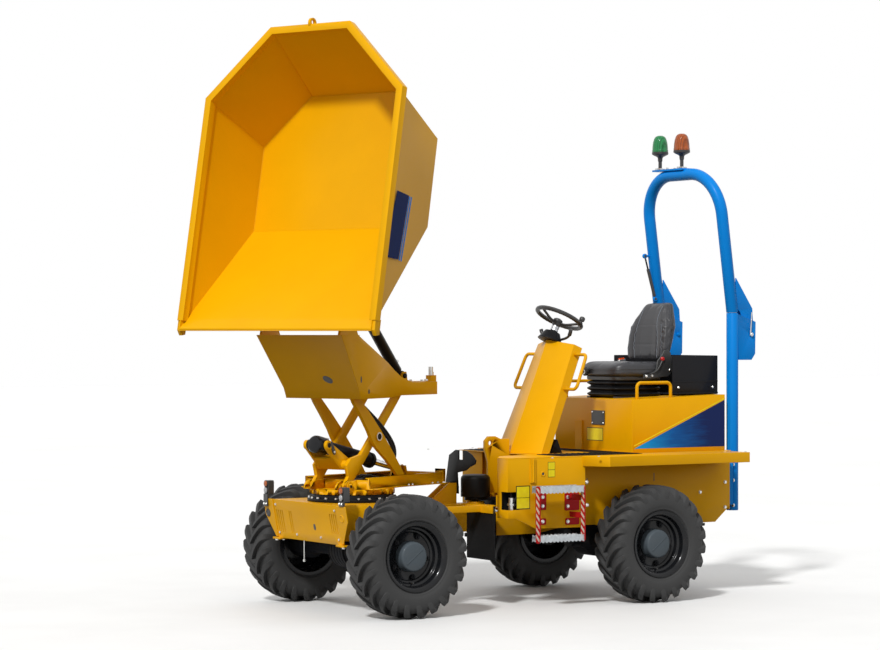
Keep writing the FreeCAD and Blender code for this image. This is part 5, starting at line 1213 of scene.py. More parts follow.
@dataclass
class RamTrim:
    """Glands, ports and hose ends of the three rams."""

    def build(self) -> None:
        """Builds the ports on each ram's barrel."""
        lift = Vector((0.355, 0.0, 1.05)), Vector((-0.5, 0.0, 0.866))
        tip_end = self.tip_eye()
        tip = Vector((-0.5, 0.0, 1.47)), tip_end
        self._ports("lift_ram_ports", SWIVEL, *lift, 0.042, 0.56, "lift_barrel")
        self._ports("tip_ram_ports", SWIVEL, *tip, 0.035, 0.525, "tip_barrel")
        steer = Vector((-0.5, 0.335, 0.61)), Vector((0.04, 0.25, 0.61))
        self._ports("steer_ram_ports", GROUND, *steer, 0.03, 0.372, "steer_barrel")

    def tip_eye(self) -> Vector:
        """The tip ram's upper eye at rest, in the swivel's frame."""
        back = HINGE_BACK - 0.565
        drop = HINGE_DOWN - 0.51
        return Vector((HINGE.x + back * math.cos(TIP_REST) + drop * math.sin(TIP_REST), 0.0,
                       HINGE.z - back * math.sin(TIP_REST) + drop * math.cos(TIP_REST)))

    def _ports(self, name: str, base: Matrix, start: Vector, end: Vector, radius: float, length: float,
               body: str) -> None:
        """Two screwed ports with hose ends along a barrel, and the gland's ring."""
        ahead = (end - start).normalized()
        up = Vector(UP)
        up = (up - ahead * up.dot(ahead)).normalized()
        forge = Forge(base)
        for share in (0.16, 0.9):
            at = start + ahead * (length * share)
            forge.bar(at + up * (radius - 0.004), at + up * (radius + 0.018), 0.012, 6)
        forge.done(name, ZINC, body)
        gland = Forge(base)
        at = facing(start + ahead * (length - 0.028), ahead)
        gland.lathe([(radius + 0.0065, 0.0), (radius + 0.0085, 0.002), (radius + 0.0085, 0.024),
                     (radius + 0.0065, 0.026)], at, 40)
        gland.done(name.replace("ports", "gland"), BLACK, body)


@dataclass
class SkipTrim:
    """Small things on the skip: weld beads along the inner corners and a thin sheet on the floor."""

    half: float = 0.752
    length: float = 1.911
    chamfer: float = 1.487
    rear_half: float = 0.303
    depth: float = 0.53
    floor_front: float = 0.745
    floor_half: float = 0.69
    floor_chamfer: float = 1.305
    floor_rear: float = 1.63
    body: str = "skip_body"

    def floor_rear_half(self) -> float:
        """Half the floor's width at its rear edge."""
        taper = (self.chamfer - self.length) / (self.half - self.rear_half)
        return self.floor_half + (self.floor_rear - self.floor_chamfer) / taper

    def build(self) -> None:
        """Builds the weld beads along the inner corners and the floor's edges, and a thin sheet on the
        floor.
        """
        forge = Forge(SKIP)
        wall = 0.006
        rear = self.floor_rear_half()
        level = -self.depth + wall
        floor = [(-self.floor_front, self.floor_half - wall, level),
                 (-self.floor_chamfer, self.floor_half - wall, level),
                 (-self.floor_rear + wall, rear - wall, level), (-self.floor_rear + wall, wall - rear,
                                                                 level),
                 (-self.floor_chamfer, wall - self.floor_half, level), (-self.floor_front,
                                                                        wall - self.floor_half, level)]
        rim = [(0.0, self.half - wall, 0.0), (-self.chamfer, self.half - wall, 0.0),
               (-self.length + wall, self.rear_half - wall, 0.0), (-self.length + wall,
                                                                   wall - self.rear_half, 0.0),
               (-self.chamfer, wall - self.half, 0.0), (0.0, wall - self.half, 0.0)]
        for i, corner in enumerate(floor):
            top = Vector(rim[i])
            low = Vector(corner)
            forge.tube([low, low.lerp(top, 0.5), low.lerp(top, 0.985)], 0.0032, 8, smooth=2)
        for first, second in zip(floor, floor[1:] + floor[:1]):
            middle = Vector(first).lerp(Vector(second), 0.5)
            forge.tube([first, middle, second], 0.0032, 8, smooth=2)
        forge.done("skip_corner_beads", YELLOW_CLEAN, self.body)
        sheet = Forge(SKIP)
        middle = Vector((-(self.floor_front + self.floor_rear) / 2, 0.0))
        outline = []
        for x, y, _ in floor:
            outline.append((x + math.copysign(0.004, middle.x - x) if x != floor[0][0] else x, y * 0.985))
        area = sum(a[0] * b[1] - b[0] * a[1] for a, b in zip(outline, outline[1:] + outline[:1]))
        sheet.plate(outline if area > 0 else outline[::-1], 0.003, None, level - 0.0002)
        sheet.done("skip_floor_sheet", YELLOW_CLEAN, self.body)


class Eye:
    """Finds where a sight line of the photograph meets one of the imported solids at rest."""

    def __init__(self, studio: "Studio") -> None:
        """Keeps the studio's camera and an empty store of meshes."""
        self.studio = studio
        self.trees: dict[str, BVHTree] = {}

    def tree(self, node: str) -> BVHTree:
        """The search tree of a node's mesh, made once."""
        if node not in self.trees:
            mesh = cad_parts[node].data
            points = [tuple(vertex.co) for vertex in mesh.vertices]
            self.trees[node] = BVHTree.FromPolygons(points, [tuple(face.vertices) for face in mesh.polygons])
        return self.trees[node]

    def hit(self, px: float, py: float, node: str) -> tuple[Vector, Vector]:
        """Where the sight line through a pixel meets a node.

        Args:
            px: pixels from the left of the photograph.
            py: pixels from its top.
            node: the node that is met.

        Returns:
            The place and the face's outward direction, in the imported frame.
        """
        right, above, ahead = self.studio.axes()
        focal = self.studio.focal_px
        sight = ahead + right * ((px - 440.0) / focal) - above * ((py - 325.0) / focal)
        place, normal, _, _ = self.tree(node).ray_cast(ground(*self.studio.eye), sight.normalized())
        if place is None:
            raise ValueError(f"nothing of {node} at {px}, {py}")
        if normal.dot(sight) > 0.0:
            normal = -normal
        return place, normal

    def patch(self, forge: Forge, corners: Sequence[Corner], node: str, thick: float = 0.0012,
              rise: float = 0.0) -> None:
        """A thin plate on a node's face, with its corners given by pixels.

        Args:
            forge: where the plate is built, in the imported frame.
            corners: pixels of the photograph, in order.
            node: the node that the plate lies on.
            thick: the plate's thickness.
            rise: how far its foot stands off the face.
        """
        found = [self.hit(px, py, node) for px, py in corners]
        normal = sum((n for _, n in found), Vector()).normalized()
        middle = sum((p for p, _ in found), Vector()) / len(found)
        local = facing(middle, normal)
        back = local.inverted()
        outline = [tuple((back @ p)[:2]) for p, _ in found]
        area = sum(a[0] * b[1] - b[0] * a[1] for a, b in zip(outline, outline[1:] + outline[:1]))
        forge.plate(outline if area > 0 else outline[::-1], thick, local, rise)

    def bolts(self, forge: Forge, places: Sequence[Corner], node: str, across: float = 0.019,
              tall: float = 0.009) -> None:
        """Bolts at pixels of the photograph, each square to the face that it sits on."""
        for i, (px, py) in enumerate(places):
            place, normal = self.hit(px, py, node)
            forge.bolt(place, normal, across, tall, 0.4 * i)


@dataclass
class RearBody:
    """Signs, panels, catches and fasteners of the rear half."""

    eye: Eye
    cheek_y: float = 0.6
    box_y: float = 0.44
    box_front: float = -0.944
    post_x: float = -1.812
    post_y: float = 0.404
    split_z: float = 1.881
    body: str = "rear_body"

    def build(self) -> None:
        """Builds and dresses every piece of the rear half."""
        self.side_panels()
        self.signs()
        self.catches()
        self.bolts()
        self.box_front_panel()
        self.deck_mat()
        self.window()
        self.post_fittings()
        self.tail()
        self.skip_panel()
        self.top_frame_hole_shadows()

    def _on_side(self, y: float, side: int = 1) -> Matrix:
        """A frame on an upright side plane: its X runs forward on the right side and back on the left."""
        return GROUND @ facing((0.0, side * y, 0.0), outward(side))

    def side_panels(self) -> None:
        """The blue triangles on the seat box's sides, as thin sheets with eased corners."""
        corners = [(-0.959, 0.996), (-1.721, 1.301), (-1.72, 0.978)]
        for side, name in ((1, "left"), (-1, "right")):
            forge = Forge()
            at = self._on_side(self.box_y, side)
            outline = [(-x * side, z) for x, z in [(-0.962, 0.984), (-1.716, 1.296), (-1.716, 0.984)]]
            forge.plate(outline if side > 0 else outline[::-1], 0.0012, at)
            forge.done("box_panel_" + name, SKY, self.body, bevel=0.0005)
            edge = Forge()
            low, high = corners[0], corners[1]
            run = [(-low[0] * side, low[1] + 0.002), (-high[0] * side, high[1] + 0.002),
                   (-high[0] * side, high[1] + 0.009), (-low[0] * side, low[1] + 0.009)]
            edge.plate(run if side > 0 else run[::-1], 0.001, at)
            edge.done("box_panel_line_" + name, SIGN, self.body)

    def signs(self) -> None:
        """Blank signs: a bordered yellow one and a small one on the cheek, and one on the box."""
        border = Forge(GROUND)
        face = Forge(GROUND)
        for x0, x1, z0, z1 in ((-0.02, 0.087, 0.631, 0.78), (-0.214, -0.159, 0.828, 0.925)):
            at = facing((0.0, self.cheek_y, 0.0), LEFT)
            border.box((-x1, z0, 0.0), (-x0, z1, 0.0008), at)
            rim = 0.0055 if z0 < 0.7 else 0.0025
            split = z0 + (z1 - z0) * 0.49
            face.box((-x1 + rim, z0 + rim, 0.0006), (-x0 - rim, split - 0.0015, 0.0014), at)
            face.box((-x1 + rim, split + 0.0015, 0.0006), (-x0 - rim, z1 - rim, 0.0014), at)
        for y0, y1, z0, z1 in ((-0.068, 0.115, 1.025, 1.112),):
            at = facing((self.box_front, 0.0, 0.0), AHEAD)
            border.box((y0, z0, 0.0), (y1, z1, 0.0008), at)
            face.box((y0 + 0.004, z0 + 0.004, 0.0006), (y1 - 0.004, z1 - 0.004, 0.0014), at)
        border.done("sign_borders", SIGN_EDGE, self.body)
        face.done("sign_faces", SIGN, self.body)

    def catches(self) -> None:
        """The stay rod's guide on the cheek, the plug with its round cover, and dark plates in the slots as
        painted shade.
        """
        dark = Forge(GROUND)
        at = facing((0.0, self.cheek_y, 0.0), LEFT)
        cover = at @ Matrix.Translation((0.121, 0.85, 0.0))
        dark.lathe([(0.0, 0.0012), (0.0085, 0.0012), (0.0085, -0.002)], cover, 20)
        # Dark plates in the slots: painted shade inside the slits.
        dark.box((0.463, 0.769, 0.0), (0.467, 0.814, 0.0008), at)
        side = facing((0.0, 0.46, 0.0), LEFT)
        dark.box((1.105, 0.769, 0.0), (1.111, 0.822, 0.0008), side)
        dark.done("side_slot_shadows_and_plug", PLASTIC, self.body)
        rod = Forge(GROUND)
        rod.lathe([(0.0085, 0.0006), (0.011, 0.0036), (0.0165, 0.0036), (0.0185, 0.0), (0.0085, -0.001)],
                  cover, 28,
                  True)
        rod.box((0.02, 0.795, 0.0), (0.059, 0.95, 0.01), at)
        rod.bar((-0.04, self.cheek_y + 0.012, 0.8), (-0.04, self.cheek_y + 0.012, 0.945), 0.006, 14)
        rod.done("cheek_catch", YELLOW, self.body, bevel=0.002)

    def bolts(self) -> None:
        """Bolt heads on the cheek, the arch wall and the console."""
        forge = Forge(GROUND)
        for x, z in ((-0.461, 0.789), (-0.464, 0.641)):
            forge.bolt((x, self.cheek_y, z), LEFT, 0.018, 0.008)
            forge.bolt((x, -self.cheek_y, z), RIGHT, 0.018, 0.008)
        for x, z in ((-1.704, 0.744), (-1.704, 0.576), (-1.492, 0.684)):
            forge.bolt((x, 0.46, z), LEFT, 0.018, 0.008)
            forge.bolt((x, -0.46, z), RIGHT, 0.018, 0.008)
        for x in (-0.23, -0.3):
            for side in (-1, 1):
                forge.bolt((x, side * 0.014, 0.9), outward(side), 0.019, 0.009)
        for x in (-0.1, -0.46, -1.66):
            for side in (-1, 1):
                forge.dome_bolt((x, side * 0.735, 0.957), UP, 0.009)
        forge.done("rear_bolts", ZINC, self.body)

    def box_front_panel(self) -> None:
        """The black panel with four screws and the raised strip on the seat box's front."""
        at = facing((self.box_front, 0.0, 0.0), AHEAD)
        panel = Forge(GROUND)
        panel.box((-0.011, 1.132, 0.0), (0.137, 1.228, 0.006), at)
        panel.done("box_front_cover", PLASTIC, self.body, bevel=0.003)
        screws = Forge(GROUND)
        for y in (0.001, 0.125):
            for z in (1.144, 1.216):
                screws.dome_bolt((self.box_front + 0.006, y, z), AHEAD, 0.006)
        screws.done("box_front_screws", ZINC, self.body)
        strip = Forge(GROUND)
        strip.box((-0.196, 0.96, 0.0), (-0.115, 1.156, 0.01), at)
        strip.done("box_front_strip", YELLOW, self.body, bevel=0.002)

    def deck_mat(self) -> None:
        """The ribbed rubber mat on the deck, in front of the seat box and beside it."""
        forge = Forge(GROUND)
        forge.box((-0.93, -0.57, 0.9572), (-0.77, 0.57, 0.9602))
        for side in (-1, 1):
            low, high = sorted((side * 0.3, side * 0.57))
            forge.box((-0.77, low, 0.9572), (-0.28, high, 0.9602))
            for k in range(10):
                x = -0.745 + 0.046 * k
                forge.box((x, low + 0.012, 0.96), (x + 0.016, high - 0.012, 0.9625))
        for k in range(3):
            x = -0.91 + 0.046 * k
            forge.box((x, -0.558, 0.96), (x + 0.016, 0.558, 0.9625))
        forge.done("deck_mat", SHEET_RUBBER, self.body)

    def window(self) -> None:
        """What shows in the cheek's window: a plated cylinder with its ring, and two hoses."""
        zinc = Forge(GROUND)
        zinc.bar((0.092, 0.556, 0.6), (0.092, 0.556, 0.705), 0.019, 28)
        zinc.lathe([(0.02, 0.0), (0.028, 0.0), (0.028, 0.012), (0.02, 0.012)],
                   Matrix.Translation((0.092, 0.556, 0.655)), 28, True)
        zinc.done("side_valve", ZINC, self.body)
        hose = Forge(GROUND)
        hose.tube([(0.092, 0.556, 0.705), (0.09, 0.552, 0.735), (0.05, 0.54, 0.755), (-0.01, 0.52, 0.735)],
                  0.009)
        hose.tube([(0.092, 0.575, 0.662), (0.075, 0.58, 0.7), (0.03, 0.56, 0.725), (-0.01, 0.545, 0.705)],
                  0.008)
        hose.done("side_hoses", HOSE, self.body)
        back = Forge(GROUND)
        back.box((-0.03, 0.4946, 0.59), (0.125, 0.496, 0.79))
        back.box((-0.03, 0.495, 0.59), (-0.0286, 0.5906, 0.79))
        back.done("window_back", SHEET_RUBBER, self.body)

    def post_fittings(self) -> None:
        """Pins, clips and clamp bolts of the roll bar's posts."""
        forge = Forge(GROUND)
        for side in (-1, 1):
            y = side * self.post_y
            for z in (0.753, 0.585, 0.86):
                forge.bolt((-1.776, y + side * 0.048, z), BACK, 0.019, 0.01)
            out = facing((-1.948, y + side * 0.0345, 1.735), outward(side))
            forge.lathe([(0.0, 0.012), (0.01, 0.012), (0.013, 0.009), (0.013, 0.0)], out, 24)
        forge.bar((-1.944, self.post_y + 0.044, 1.884), (-1.936, self.post_y + 0.04, 1.73), 0.0045, 12)
        forge.done("post_bolts", ZINC, self.body)
        spigot = Forge(GROUND)
        for side in (-1, 1):
            at = Matrix.Translation((self.post_x, side * self.post_y, self.split_z))
            spigot.lathe([(0.0, -0.03), (0.0346, -0.03), (0.0346, 0.001), (0.0, 0.001)], at, 36)
        spigot.done("post_spigots", PLASTIC, self.body)

    def top_frame_hole_shadows(self) -> None:
        """Dark plates over the holes in the raised frame's front plate, its side and its tail: painted shade
        inside the holes.
        """
        forge = Forge()
        # Each is a dark plate over a hole: painted shade inside it.
        for px, py, wide, tall, lean in ((327.8, 379.6, 0.036, 0.025, -0.45),
                                         (361.2, 379.6, 0.009, 0.02, 0.0),
                                         (369.0, 391.6, 0.0115, 0.014, 0.0)):
            place, normal = self.eye.hit(px, py, "top_frame")
            at = facing(place, normal) @ Matrix.Rotation(lean, 4, "Z")
            forge.plate(rounded(wide, tall, 2.2, 32), 0.0012, at, -0.0002)
        forge.done("top_frame_hole_shadows", PLASTIC, "lift_top")

    def tail(self) -> None:
        """Rear lamps' lenses."""
        lens = Forge(GROUND)
        for side in (-1, 1):
            at = facing((-1.6985, side * 0.676, 0.924), BACK)
            lens.lathe([(0.0, 0.006), (0.016, 0.006), (0.02, 0.003), (0.02, 0.0)], at, 28)
        lens.done("rear_lamp_lenses", AMBER_LENS, self.body)

    def skip_panel(self) -> None:
        """The plain navy panel on the skip's left side."""
        forge = Forge()
        self.eye.patch(forge, [(396.6, 190.3), (407.6, 195.6), (397.0, 259.6), (387.2, 256.0)], "skip")
        forge.done("skip_side_panel", NAVY, "skip_body")
        lines = Forge()
        for shift in (1.6, 3.4):
            self.eye.patch(lines, [(407.6 + shift, 195.6 + shift * 0.4),
                                   (408.6 + shift, 196.0 + shift * 0.4),
                                   (398.0 + shift, 260.2 + shift * 0.4), (397.0 + shift,
                                                                          259.8 + shift * 0.4)], "skip")
        lines.done("skip_side_lines", BLUE, "skip_body")


@dataclass
class Step:
    """The two-tread step on the left cheek: hatched side frames, serrated treads and red feet."""

    front: float = 0.02
    rear: float = -0.332
    wall: float = 0.6003
    out: float = 0.77
    low: float = 0.422
    high: float = 0.782
    body: str = "rear_body"

    def build(self) -> None:
        """Builds the step in place of its plain solid."""
        self.frames()
        self.treads()
        self.feet()

    def frames(self) -> None:
        """Red upright frames with rounded corners, and the striped tape on their faces."""
        frames = Forge(GROUND)
        tape = Forge(GROUND)
        for x, look, straight in ((self.front, 1.0, False), (self.rear + 0.006, 1.0, True)):
            at = facing((x, 0.0, 0.0), (look, 0.0, 0.0))
            y0, y1 = self.wall + 0.122, self.out
            z0, z1 = self.low, self.high
            outline = [(y0 + 0.01, z0), (y1 - 0.014, z0), (y1, z0 + 0.014), (y1, z1 - 0.014),
                       (y1 - 0.014, z1),
                       (y0 + 0.01, z1), (y0, z1 - 0.01), (y0, z0 + 0.01)]
            frames.plate(outline, 0.006, at, -0.006)
            for z in (0.7, 0.588):
                if straight:
                    frames.box((self.wall, z - 0.018, -0.006), (y0 + 0.004, z + 0.018, 0.0), at)
                else:
                    strip = [(x - 0.09, self.wall), (x - 0.082, self.wall), (x, y0 + 0.002),
                             (x - 0.006, y0 + 0.006)]
                    frames.plate(strip, 0.036, None, z - 0.018)
            tape.box((y0 + 0.006, z0 + 0.012, 0.0), (y1 - 0.006, z1 - 0.012, 0.0006), at)
            tape.box((y0 + 0.006, z0 + 0.012, -0.0066), (y1 - 0.006, z1 - 0.012, -0.006), at)
        made = frames.done("step_frames", STEP_RED, self.body, bevel=0.0012)
        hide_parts("step")
        tape.done("step_tape", HATCH, self.body)

    def _comb(self, low: float, high: float, teeth_low: bool, teeth_high: bool) -> list[Corner]:
        """One tread's side outline as (x, z), with teeth on the chosen edges."""
        start, end = self.rear + 0.006, self.front - 0.006
        count = 12
        pitch = (end - start) / count
        outline: list[Corner] = []
        for k in range(count):
            x = start + pitch * k
            bite = 0.006 if teeth_low else 0.0
            outline += [(x, low), (x + pitch * 0.3, low), (x + pitch * 0.5, low + bite),
                        (x + pitch * 0.8, low + bite)]
        outline += [(end, low)]
        for k in range(count):
            x = end - pitch * k
            bite = 0.006 if teeth_high else 0.0
            outline += [(x, high), (x - pitch * 0.3, high), (x - pitch * 0.5, high - bite),
                        (x - pitch * 0.8, high - bite)]
        outline += [(start, high)]
        return outline

    def treads(self) -> None:
        """Galvanised grip treads: a toothed sheet on each long side and raised cups between them."""
        forge = Forge(GROUND)
        for low, high in ((0.734, 0.78), (0.426, 0.472)):
            for y in (self.out - 0.0085, self.wall + 0.0745):
                at = Matrix.Translation((0.0, y, 0.0)) @ Matrix(((1, 0, 0, 0), (0, 0, -1, 0), (0, 1, 0, 0),
                                                                 (0, 0, 0, 1)))
                forge.plate(self._comb(low, high, True, low < 0.5), 0.0045, at, -0.0022)
            forge.box((self.rear + 0.006, self.wall + 0.076, high - 0.012),
                      (self.front - 0.006, self.out - 0.01, high - 0.0095))
            for row in range(3):
                for k in range(9):
                    x = self.rear + 0.036 + 0.035 * k
                    y = self.wall + 0.095 + 0.03 * row
                    cup = Matrix.Translation((x, y, high - 0.0095))
                    forge.lathe([(0.0105, 0.0), (0.008, 0.0075), (0.0062, 0.0075), (0.0075, 0.0)], cup, 12,
                                True)
        forge.done("step_treads", GALVANISED, self.body, bevel=0.0005)

    def feet(self) -> None:
        """Red mounting plates on the cheek, each with its bolts."""
        forge = Forge(GROUND)
        at = facing((0.0, self.wall, 0.0), LEFT)
        for x0, x1, z0, z1 in ((-0.142, -0.062, 0.621, 0.728), (-0.4, -0.287, 0.612, 0.724),
                               (-0.142, -0.062, 0.527, 0.568), (-0.4, -0.293, 0.52, 0.564)):
            forge.plate([(-x1, z0 + 0.006), (-x1 + 0.006, z0), (-x0 - 0.006, z0), (-x0, z0 + 0.006),
                         (-x0, z1 - 0.006),
                         (-x0 - 0.006, z1), (-x1 + 0.006, z1), (-x1, z1 - 0.006)], 0.006, at)
        forge.done("step_feet", STEP_RED, self.body, bevel=0.0008)
        bolts = Forge(GROUND)
        for x, zs in ((-0.113, (0.647, 0.704, 0.548)), (-0.308, (0.64, 0.698, 0.542))):
            for z in zs:
                bolts.bolt((x, self.wall + 0.006, z), LEFT, 0.019, 0.008)
        bolts.done("step_bolts", ZINC, self.body)


def rounded(half_x: float, half_y: float, power: float, count: int = 40) -> list[Corner]:
    """A rounded rectangle's outline.

    Args:
        half_x: half its size along X.
        half_y: half its size along Y.
        power: 2 for an ellipse, more for squarer corners.
        count: how many points it has.

    Returns:
        The points, anticlockwise.
    """
    made = []
    for k in range(count):
        angle = 2 * math.pi * (k + 0.5) / count
        c, s = math.cos(angle), math.sin(angle)
        made.append((half_x * math.copysign(abs(c) ** (2 / power), c),
                     half_y * math.copysign(abs(s) ** (2 / power), s)))
    return made


@dataclass
class Padding:
    """Swells a closed form like foam under a sewn cover, and sews seams into it."""

    voxel: float = 0.0055
    pressure: float = 4.0
    frames: int = 20
    cap: float = 0.007

    def _remeshed(self, piece: bpy.types.Object) -> None:
        """Turns the piece's mesh into an even one."""
        remesh = piece.modifiers.new("even", "REMESH")
        remesh.mode = "VOXEL"
        remesh.voxel_size = self.voxel
        self._settle(piece)

    def _settle(self, piece: bpy.types.Object) -> None:
        """Writes the modifiers' result into the mesh and drops them."""
        graph = bpy.context.evaluated_depsgraph_get()
        result = bpy.data.meshes.new_from_object(piece.evaluated_get(graph))
        materials = list(piece.data.materials)
        piece.modifiers.clear()
        piece.data = result
        if not result.materials:
            for material in materials:
                result.materials.append(material)

    def swell(self, piece: bpy.types.Object) -> None:
        """Remeshes the piece and lets cloth under pressure round it, up to the cap.

        Args:
            piece: a closed form slightly smaller than the finished one.
        """
        self._remeshed(piece)
        start = [vertex.co.copy() for vertex in piece.data.vertices]
        cloth = piece.modifiers.new("cover", "CLOTH")
        cloth.settings.quality = 5
        cloth.settings.mass = 0.3
        cloth.settings.tension_stiffness = 18.0
        cloth.settings.compression_stiffness = 18.0
        cloth.settings.bending_stiffness = 0.6
        cloth.settings.use_pressure = True
        cloth.settings.uniform_pressure_force = self.pressure
        cloth.settings.effector_weights.gravity = 0.0
        cloth.collision_settings.use_collision = False
        scene = bpy.context.scene
        for step in range(1, self.frames + 1):
            scene.frame_set(step)
        self._settle(piece)
        scene.frame_set(1)
        for vertex, before in zip(piece.data.vertices, start):
            move = vertex.co - before
            if move.length > self.cap:
                vertex.co = before + move * (self.cap / move.length)

    def sew(self, piece: bpy.types.Object, seams: Sequence[Sequence[Vector]], depth: float, width: float,
            facing_x: float = 0.0) -> None:
        """Pulls the surface in along seams.

        Args:
            piece: the swollen piece.
            seams: lines of points on or near its surface.
            depth: how deep a seam lies.
            width: how far its pull reaches.
            facing_x: if not 0, only what looks this way along X is pulled.
        """
        lines = [spline(points, False, 14) for points in seams]
        tree = KDTree(sum(len(line) for line in lines))
        index = 0
        for line in lines:
            for point in line:
                tree.insert(point, index)
                index += 1
        tree.balance()
        mesh = piece.data
        normals = [vertex.normal.copy() for vertex in mesh.vertices]
        for vertex, normal in zip(mesh.vertices, normals):
            if facing_x and normal.x * facing_x < 0.05:
                continue
            _, _, away = tree.find(vertex.co)
            if away < width * 3.0:
                vertex.co -= normal * depth * math.exp(-(away / width) ** 2)

    def finish(self, piece: bpy.types.Object, levels: int = 1) -> None:
        """Smooth shading and one subdivision."""
        for face in piece.data.polygons:
            face.use_smooth = True
        finer = piece.modifiers.new("finer", "SUBSURF")
        finer.levels = levels
        finer.render_levels = levels

    def piping(self, piece: bpy.types.Object, seams: Sequence[Sequence[Vector]], name: str, finish: Finish,
               body: str, radius: float = 0.0022, lift: float = 0.0004) -> bpy.types.Object:
        """Thin cords that lie in the seams, on the piece's own surface."""
        mesh = piece.data
        tree = BVHTree.FromPolygons([tuple(v.co) for v in mesh.vertices],
                                    [tuple(p.vertices) for p in mesh.polygons])
        forge = Forge()
        for points in seams:
            line = spline(points, False, 8)
            laid = []
            for point in line:
                place, normal, _, _ = tree.find_nearest(point)
                laid.append(place + normal * (lift + radius * 0.2))
            forge.tube(laid, radius, 8, smooth=1)
        return forge.done(name, finish, body)


@dataclass
class Seat:
    """The driver's seat: padded cushion and backrest, sprung base in bellows, buckle and recline bracket."""

    padding: Padding
    front: float = -0.968
    rear: float = -1.44
    half: float = 0.235
    low: float = 1.4555
    body: str = "rear_body"

    def build(self) -> None:
        """Builds the seat in place of its plain solids."""
        self.cushion()
        self.backrest()
        self.base()
        self.hardware()

    def cushion(self) -> None:
        """The seat cushion: raised sides, a rolled nose and two channels across."""
        forge = Forge(GROUND)
        middle = (self.front + self.rear) / 2
        reach = (self.front - self.rear) / 2 - 0.006
        wide = self.half - 0.006
        rows = []
        for height, draw in ((0.003, 0.935), (0.008, 0.975), (0.022, 1.0), (0.048, 1.0), (0.066, 0.985),
                             (0.077, 0.95), (0.083, 0.9)):
            row = []
            for x, y in rounded(reach * draw, wide * draw, 5.5, 56):
                nose = max(0.0, (x / reach - 0.45) / 0.55)
                lift = 0.012 * (abs(y) / wide) ** 3 - 0.014 * nose * nose
                row.append(Vector((middle + x, y, self.low + height + lift * height / 0.083)))
            rows.append(row)
        crown = []
        for share, rise in ((0.72, 0.0035), (0.45, 0.0045), (0.15, 0.0045)):
            row = []
            for x, y in rounded(reach * share, wide * share, 4.0, 56):
                nose = max(0.0, (x / reach - 0.45) / 0.55)
                lift = 0.012 * (abs(y) / wide) ** 3 - 0.014 * nose * nose
                row.append(Vector((middle + x, y, self.low + 0.083 + rise + lift)))
            crown.append(row)
        forge.loft(rows + crown)
        made = forge.done("seat_cushion_cover", VINYL, self.body)
        self.padding.swell(made)
        level = self.low + 0.092
        seams = [[GROUND @ Vector((x, side * 0.15, level)) for x in (-1.405, -1.33, -1.2, -1.07, -1.0)]
                 for side in (-1, 1)]
        seams += [[GROUND @ Vector((x, y, level)) for y in (-0.145, -0.07, 0.0, 0.07, 0.145)]
                  for x in (-1.095, -1.215, -1.33)]
        self.padding.sew(made, seams, 0.0065, 0.0085)
        edge = [GROUND @ Vector((middle + x, y, self.low + 0.046)) for x,
                y in rounded(reach + 0.004, wide + 0.004, 5.5, 40)]
        edge.append(edge[0])
        self.padding.sew(made, [edge], 0.0035, 0.005)
        self.padding.finish(made)
        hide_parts("seat_cushion")
        self.padding.piping(made, [edge], "cushion_piping", PLASTIC, self.body, 0.002)
        self.padding.piping(made, seams[:2], "cushion_stitching", PIPING, self.body, 0.0012)

    def backrest(self) -> None:
        """The backrest: side bolsters, a narrower top and upright seams."""
        # Each level: height, front, rear, half width, how far the bolsters stand forward
        levels = ((1.56, -1.383, -1.432, 0.196, 0.004), (1.58, -1.378, -1.438, 0.212, 0.01),
                  (1.64, -1.382, -1.458, 0.218, 0.016), (1.72, -1.388, -1.486, 0.216, 0.018),
                  (1.79, -1.398, -1.51, 0.208, 0.015), (1.84, -1.414, -1.525, 0.184, 0.011),
                  (1.885, -1.434, -1.536, 0.156, 0.007), (1.92, -1.452, -1.544, 0.136, 0.004),
                  (1.94, -1.466, -1.547, 0.124, 0.002), (1.95, -1.484, -1.544, 0.112, 0.0))
        forge = Forge(GROUND)
        rows = []
        for z, front, rear, half, wing in levels:
            middle, deep = (front + rear) / 2, (front - rear) / 2
            row = []
            for x, y in rounded(deep, half - 0.002, 4.8, 56):
                side = abs(y) / half
                forward = wing * (side ** 2.5) - 0.01 * (1.0 - side ** 2) if x > 0 else 0.0
                row.append(Vector((middle + x + forward, y, z)))
            rows.append(row)
        forge.loft(rows)
        made = forge.done("seat_backrest_cover", VINYL, self.body)
        self.padding.swell(made)
        inner = [[GROUND @ Vector((x, side * y, z)) for x, y, z in
                  ((-1.375, 0.125, 1.575), (-1.378, 0.128, 1.66), (-1.384, 0.122, 1.74),
                   (-1.392, 0.104, 1.81),
                   (-1.412, 0.096, 1.87), (-1.446, 0.1, 1.935))] for side in (-1, 1)]
        outer = [[GROUND @ Vector((x, side * y, z)) for x, y, z in
                  ((-1.37, 0.176, 1.58), (-1.37, 0.182, 1.66), (-1.376, 0.176, 1.74), (-1.39, 0.158, 1.81))]
                 for side in (-1, 1)]
        self.padding.sew(made, inner + outer, 0.0075, 0.0075, facing_x=1.0)
        across = [[GROUND @ Vector((-1.395, y, 1.8)) for y in (-0.1, -0.05, 0.0, 0.05, 0.1)],
                  [GROUND @ Vector((-1.388, y, 1.668)) for y in (-0.12, -0.06, 0.0, 0.06, 0.12)]]
        self.padding.sew(made, across, 0.0035, 0.007, facing_x=1.0)
        rim = []
        for z, front, rear, half, _ in levels[1:-1]:
            rim.append(GROUND @ Vector(((front + rear) / 2 - 0.01, half + 0.002, z)))
        far = [Vector((p.x, -p.y, p.z)) for p in reversed(rim)]
        self.padding.sew(made, [rim + far], 0.003, 0.005)
        self.padding.finish(made)
        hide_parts("seat_backrest")
        self.padding.piping(made, inner, "backrest_piping", PIPING, self.body, 0.002)
        self.padding.piping(made, outer, "backrest_stitching", PIPING, self.body, 0.0014)
        self.padding.piping(made, [rim + far], "backrest_edge", PLASTIC, self.body, 0.0026)

